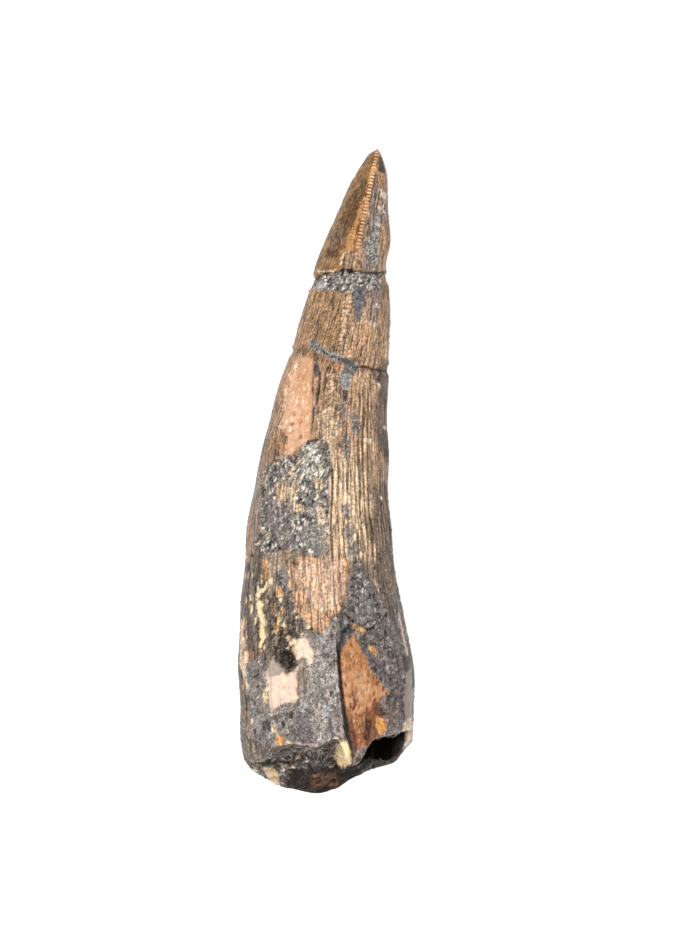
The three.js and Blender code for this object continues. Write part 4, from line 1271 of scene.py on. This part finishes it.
def toothMaterial():
    look = toothLook
    material, tree, shader = newMaterial("fossilTooth")
    plus, minus, least, most = [
        partial(combine, tree, operation) for operation in ("ADD", "SUBTRACT", "MINIMUM", "MAXIMUM")
    ]

    def layer(name, output="Fac"):
        return addNode(tree, "ShaderNodeAttribute", attribute_name=name).outputs[output]

    def noise(vector, scale, detail):
        inputs = {"Vector": vector, "Scale": scale, "Detail": detail}
        return addNode(tree, "ShaderNodeTexNoise", inputs).outputs["Fac"]

    def stretched(vector, factors):
        return addNode(tree, "ShaderNodeVectorMath", {0: vector, 1: factors}, operation="MULTIPLY").outputs[0]

    def times(*values):
        product = values[0]
        for value in values[1:]:
            product = combine(tree, "MULTIPLY", product, value)
        return product

    def swing(value, amount):
        # 1 with the noise's swing times the amount added
        return plus(times(minus(value, 0.5), amount, 5.0), 1.0)

    place = addNode(tree, "ShaderNodeTexCoord").outputs["Object"]
    tint = layer("tint", "Color")
    streakPlace = layer("streaks", "Vector")
    roughness, crust, lined = [layer(name) for name in ("roughness", "crust", "lined")]
    grain = noise(place, 1 / (look["grainSize"] * mm), 2)
    mottle = noise(place, 1 / (look["mottleSize"] * mm), 2.5)
    streak = noise(streakPlace, 1 / look["streakSize"], 3)
    lineNoise = noise(stretched(streakPlace, (1, 1, 0.5)), 1 / look["lineSize"], 2)
    lines = thinLines(tree, lineNoise, look["lineWidth"], 1)
    crackNoise = noise(place, 1 / (look["crackSize"] * mm), 3)
    cracks = thinLines(tree, crackNoise, look["crackWidth"], look["crackDark"])
    gaps = minus(1.0, thinLines(tree, noise(place, 1 / (look["gapSize"] * mm), 2), look["gapWidth"], 1))
    textured = least(plus(crust, plus(lined, 0.25)), 1.0)
    grainAmount = plus(times(crust, look["crustContrast"] - look["grainContrast"]), look["grainContrast"])
    level = times(
        swing(grain, times(grainAmount, textured)),
        swing(mottle, times(textured, look["mottleContrast"])),
        swing(streak, times(lined, look["streakContrast"])),
        minus(1.0, times(minus(1.0, lines), lined, look["lineDark"])),
        most(cracks, minus(1.0, lined)),
        minus(1.0, times(gaps, crust, look["gapDark"])),
    )
    shaded = {0: tint, "Scale": most(level, look["darkest"])}
    colour = addNode(tree, "ShaderNodeVectorMath", shaded, operation="SCALE").outputs[0]
    # painted glints: pale specks and thin bright lines mixed into the colour, thick on the crust and few
    # elsewhere
    glintNoise = noise(place, look["glintFineness"] / (look["grainSize"] * mm), 1)
    glintEdge = ranged(tree, glintNoise, look["glintRange"], (0, 1), "SMOOTHSTEP")
    glintCover = plus(times(crust, look["glintOnCrust"]), times(lined, look["glintOnEnamel"]))
    glintLineNoise = noise(stretched(place, (1, 0.65, 1)), 1 / (look["glintLineSize"] * mm), 2)
    glintLines = minus(1.0, thinLines(tree, glintLineNoise, look["glintLineWidth"], 1))
    glintLines = times(glintLines, least(most(ranged(tree, mottle, mottleRange, (-1, 2)), 0.0), 1.0))
    glintShare = plus(times(glintEdge, glintCover), times(glintLines, crust, look["glintLineShare"]))
    bright = addNode(tree, "ShaderNodeRGBToBW", {"Color": tint}).outputs["Val"]
    glintShare = times(glintShare, least(times(bright, 4.0), 1.0))
    mixture = {0: glintShare, 6: colour, 7: (*look["glintTone"], 1)}
    mixed = addNode(tree, "ShaderNodeMix", mixture, data_type="RGBA").outputs[2]
    height = plus(times(grain, plus(times(crust, 0.8), 0.3)), mottle)
    height = plus(height, times(lined, plus(times(streak, 0.8), times(lines, 0.35))))
    raised = {"Height": height, "Distance": look["bumpHeight"] * mm, "Strength": 1.0}
    bump = addNode(tree, "ShaderNodeBump", raised)
    feed(tree, shader, {
        "Base Color": mixed,
        "Roughness": plus(roughness, ranged(tree, mottle, mottleRange, (-0.1, 0.1))),
        "Normal": bump.outputs["Normal"],
        "Specular IOR Level": look["specular"],
    })
    return material


def hollowMatrixAndShadeMaterial():
    material, tree, shader = newMaterial("pulpHollow")
    # near black with little reflection: dark matrix and painted shade in the hollow
    black = (*linear(palette["pitch"]), 1)
    feed(tree, shader, {"Base Color": black, "Roughness": 0.95, "Specular IOR Level": 0.05})
    return material


def plainMaterial(name, colour, roughness, contrast):
    # a colour varied by the tone of each bead or grain
    material, tree, shader = newMaterial(name)
    tone = addNode(tree, "ShaderNodeAttribute", attribute_name="tone").outputs["Fac"]
    level = ranged(tree, combine(tree, "POWER", tone, 2.0), (0, 1), (1 - contrast, 1 + 1.5 * contrast))
    shaded = {0: list(linear(colour)), "Scale": level}
    scaled = addNode(tree, "ShaderNodeVectorMath", shaded, operation="SCALE")
    feed(tree, shader, {"Base Color": scaled.outputs[0], "Roughness": roughness})
    return material


# Geometry Nodes

def newTree(name, amounts):
    # a tree with a geometry input and output, a material and the named numbers
    tree = bpy.data.node_groups.new(name, "GeometryNodeTree")
    tree.interface.new_socket("Geometry", in_out="INPUT", socket_type="NodeSocketGeometry")
    for key, value in amounts.items():
        tree.interface.new_socket(key, in_out="INPUT", socket_type="NodeSocketFloat").default_value = value
    tree.interface.new_socket("Material", in_out="INPUT", socket_type="NodeSocketMaterial")
    tree.interface.new_socket("Geometry", in_out="OUTPUT", socket_type="NodeSocketGeometry")
    return tree, tree.nodes.new("NodeGroupInput"), tree.nodes.new("NodeGroupOutput")


def named(tree, name, kind="FLOAT"):
    node = addNode(tree, "GeometryNodeInputNamedAttribute", {"Name": name}, data_type=kind)
    return node.outputs["Attribute"]


def finishTree(tree, geometry, source, sink):
    inputs = {"Geometry": geometry, "Material": source.outputs["Material"]}
    feed(tree, sink, {"Geometry": addNode(tree, "GeometryNodeSetMaterial", inputs).outputs[0]})


def grown(name, mesh, tree, material, amounts):
    # what the tree makes of the mesh, as a plain mesh in an object of its own
    piece = addObject(mesh, name)
    modifier = piece.modifiers.new("grow", "NODES")
    modifier.node_group = tree
    for item in tree.interface.items_tree:
        if item.in_out == "INPUT" and item.name in amounts:
            modifier[item.identifier] = float(amounts[item.name])
        elif item.in_out == "INPUT" and item.name == "Material":
            modifier[item.identifier] = material
    piece.update_tag()
    bpy.context.view_layer.update()
    graph = bpy.context.evaluated_depsgraph_get()
    result = bpy.data.meshes.new_from_object(piece.evaluated_get(graph))
    result.name = name
    bpy.data.objects.remove(piece)
    return addObject(result, name)


# Denticles along both keels

denticles = dict(
    pitch=[(149, 3.0), (280, 3.8), (345, 3.6), (440, 4.4)],  # photo row, pixels from one to the next
    frontEnds=358,
    rearEnds=400,
    size=(0.13, 0.08, 0.11),  # half the width, length and height at full size, in millimetres
    tipSize=0.62,  # share of the full size at the tip
    growsOver=(149, 175),  # photo rows
    sizeSwing=0.22,
    shrinksOver=110,  # the last rows
    shrinksBy=0.75,
    apart=0.06,  # millimetres from the keel's line to each of a pair
    turned=0.18,  # radians, and more near the tip
    turnedMore=0.5,
    wornPlaces=[(250, 293)],  # photo rows without denticles
    segments=8,
    rings=6,
    roughness=0.42,
    contrast=0.16,
)

matrixGrains = dict(
    density=11.0,  # per square millimetre of full crust
    smallest=0.035,  # radius in millimetres
    largest=0.085,
    fullTurn=6.28,
    seed=4,
    roughness=0.7,
    contrast=0.45,
)


def keelPath(surface, distance):
    # the places of the vertices along one keel, from the tip down
    near = np.nonzero(np.abs(surface[distance]) < 1e-6)[0]
    near = near[np.argsort(surface["t"][near])]
    return surface["place"][near], surface["t"][near]


def denticlePoints(path, shares, ends, front):
    # two beads for each denticle, with their places, turns, sizes and tones
    look = denticles
    pitchTable = np.array(look["pitch"])
    rows = photo["tipY"] + shares * toothSize["length"] * photo["perMm"]
    row = photo["tipY"] + 3
    beads = []
    number = 0
    while row < ends:
        number += 1
        spot, ahead = [
            np.array([np.interp(at, rows, path[:, k]) for k in range(3)]) for at in (row, row + 6)
        ]
        run = ahead - spot
        turn = math.atan2(run[0], -run[1])
        tilt = math.atan2(-run[2], math.hypot(run[0], run[1]))
        worn = any(low < row < high for low, high in look["wornPlaces"])
        luck = float(hashed(np.array([number, 3 if front else 5, 1]), 77))
        size = look["tipSize"] + (1 - look["tipSize"]) * smooth(*look["growsOver"], row)
        size += look["sizeSwing"] * (luck - 0.5)
        size *= 1 - look["shrinksBy"] * float(smooth(ends - look["shrinksOver"], ends, row))
        if not worn:
            vee = look["turnedMore"] * float(smooth(200, 160, row)) + look["turned"]
            for side in (-1, 1):
                out = look["apart"] * side
                place = spot + np.array([out * math.cos(turn), out * math.sin(turn), 0.0])
                place[2] = max(place[2], look["size"][0] * size)
                beads.append((place, (tilt, 0.0, turn - side * vee), size, luck))
        row += np.interp(row, pitchTable[:, 0], pitchTable[:, 1])
    return beads


def makeDenticles(name, beads, colour):
    place, turn, size, tone = [np.array(values, dtype=float) for values in zip(*beads)]
    mesh = bpy.data.meshes.new(name)
    mesh.vertices.add(len(place))
    mesh.vertices.foreach_set("co", (place * mm).ravel())
    addLayer(mesh, "turn", turn)
    addLayer(mesh, "size", size)
    addLayer(mesh, "tone", tone)

    names = ("Half width", "Half length", "Half height")
    halves = dict(zip(names, [half * mm for half in denticles["size"]]))
    tree, source, sink = newTree("denticleRow", halves)
    sphere = {"Segments": denticles["segments"], "Rings": denticles["rings"], "Radius": 1.0}
    ball = addNode(tree, "GeometryNodeMeshUVSphere", sphere).outputs["Mesh"]
    shape = addNode(tree, "ShaderNodeCombineXYZ", dict(zip("XYZ", [source.outputs[key] for key in halves])))
    flattened = addNode(tree, "GeometryNodeTransform", {"Geometry": ball, "Scale": shape.outputs[0]})
    rotation = addNode(tree, "FunctionNodeEulerToRotation", {0: named(tree, "turn", "FLOAT_VECTOR")})
    rows = addNode(tree, "GeometryNodeInstanceOnPoints", {
        "Points": source.outputs["Geometry"],
        "Instance": flattened.outputs[0],
        "Rotation": rotation.outputs[0],
        "Scale": named(tree, "size"),
    })
    real = addNode(tree, "GeometryNodeRealizeInstances", {"Geometry": rows.outputs[0]})
    shaded = addNode(tree, "GeometryNodeSetShadeSmooth", {"Geometry": real.outputs[0]})
    finishTree(tree, shaded.outputs[0], source, sink)
    material = plainMaterial(name + "Enamel", colour, denticles["roughness"], denticles["contrast"])
    return grown(name, mesh, tree, material, halves)


def makeGrains(tooth):
    amounts = {
        "Density": matrixGrains["density"] / mm**2,
        "Smallest": matrixGrains["smallest"] * mm,
        "Largest": matrixGrains["largest"] * mm,
    }
    tree, source, sink = newTree("matrixGrains", amounts)
    density = combine(tree, "MULTIPLY", named(tree, "grainShare"), source.outputs["Density"])
    scatter = addNode(tree, "GeometryNodeDistributePointsOnFaces", {
        "Mesh": source.outputs["Geometry"],
        "Density": density,
        "Seed": matrixGrains["seed"],
    })
    ball = addNode(tree, "GeometryNodeMeshIcoSphere", {"Radius": 1.0, "Subdivisions": 1})
    sizes = {2: source.outputs["Smallest"], 3: source.outputs["Largest"], "Seed": 11}
    size = addNode(tree, "FunctionNodeRandomValue", sizes)
    turns = {1: [matrixGrains["fullTurn"]] * 3, "Seed": 12}
    spin = addNode(tree, "FunctionNodeRandomValue", turns, data_type="FLOAT_VECTOR")
    tone = addNode(tree, "FunctionNodeRandomValue", {"Seed": 13})
    rotation = addNode(tree, "FunctionNodeEulerToRotation", {0: spin.outputs[0]})
    grains = addNode(tree, "GeometryNodeInstanceOnPoints", {
        "Points": scatter.outputs["Points"],
        "Instance": ball.outputs["Mesh"],
        "Rotation": rotation.outputs[0],
        "Scale": size.outputs[1],
    })
    stored = {"Geometry": grains.outputs[0], "Name": "tone", "Value": tone.outputs[1]}
    toned = addNode(tree, "GeometryNodeStoreNamedAttribute", stored, domain="INSTANCE")
    real = addNode(tree, "GeometryNodeRealizeInstances", {"Geometry": toned.outputs[0]})
    finishTree(tree, real.outputs[0], source, sink)
    material = plainMaterial(
        "matrixGrain", palette["grainGrey"], matrixGrains["roughness"], matrixGrains["contrast"]
    )
    return grown("matrixGrains", tooth.data.copy(), tree, material, amounts)


print("tooth surface")
tooth, toothData = makeTooth(toothMaterial())
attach(tooth, "root")
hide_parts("tooth")
print("tooth", len(tooth.data.polygons), "triangles")

frontPath, frontShares = keelPath(toothData, "aroundKeel")
rearPath, rearShares = keelPath(toothData, "aroundRear")
frontBeads = denticlePoints(frontPath, frontShares, denticles["frontEnds"], True)
rearBeads = denticlePoints(rearPath, rearShares, denticles["rearEnds"], False)
for name, beads in (("frontDenticles", frontBeads), ("rearDenticles", rearBeads)):
    row = makeDenticles(name, beads, palette["keelLight"])
    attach(row, "root")
    print(name, len(beads), "beads", len(row.data.polygons), "faces")

grains = makeGrains(tooth)
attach(grains, "root")
print("grains", len(grains.data.polygons), "triangles")


# The photo's setting: a white floor, soft light from the upper left and a view from above

setting = dict(
    floorTone=0.3,
    floorGlow=0.93,
    skyStrength=0.42,
    lampPlace=(-0.12, 0.1, 0.7),  # metres
    lampSize=0.16,
    lampPower=4.5,
    skyTone=(1, 0.985, 0.96, 1),
    floorGap=0.00002,
)


def makeFloor():
    half = 0.7
    mesh = bpy.data.meshes.new("floor")
    corners = [(-half, -half, 0), (half, -half, 0), (half, half, 0), (-half, half, 0)]
    mesh.from_pydata(corners, [], [(0, 1, 2, 3)])
    material, tree, shader = newMaterial("paleFloor")
    feed(tree, shader, {
        "Base Color": (*[setting["floorTone"]] * 3, 1),
        "Roughness": 0.9,
        "Emission Color": (1, 1, 1, 1),
        "Emission Strength": setting["floorGlow"],
    })
    mesh.materials.append(material)
    floor = addObject(mesh)
    floor.location.z = float(cadLow[2]) - setting["floorGap"]
    return floor


def makeLight():
    lamp = bpy.data.lights.new("softLamp", "AREA")
    lamp.shape = "SQUARE"
    lamp.size = setting["lampSize"]
    lamp.energy = setting["lampPower"]
    light = addObject(lamp)
    light.location = setting["lampPlace"]
    light.rotation_euler = (-light.location).to_track_quat("-Z", "Y").to_euler()
    world = bpy.data.worlds.new("paleSky")
    world.use_nodes = True
    sky = world.node_tree.nodes["Background"]
    sky.inputs["Color"].default_value = setting["skyTone"]
    sky.inputs["Strength"].default_value = setting["skyStrength"]
    bpy.context.scene.world = world


def makeCamera():
    lens = bpy.data.cameras.new("camera")
    lens.sensor_fit = "VERTICAL"
    lens.sensor_height = view["sensor"]
    lens.lens = view["sensor"] * view["distance"] / (photo["height"] / photo["perMm"])
    lens.clip_end = 10
    camera = addObject(lens)
    x = (photo["width"] / 2 - photo["middleX"]) / photo["perMm"]
    y = (photo["middleY"] - photo["height"] / 2) / photo["perMm"]
    camera.location = Vector((x, y, view["distance"] + view["outlineHeight"])) * mm
    bpy.context.scene.camera = camera


makeFloor()
makeLight()
makeCamera()
bpy.context.scene.view_settings.view_transform = "Standard"
print("setting")
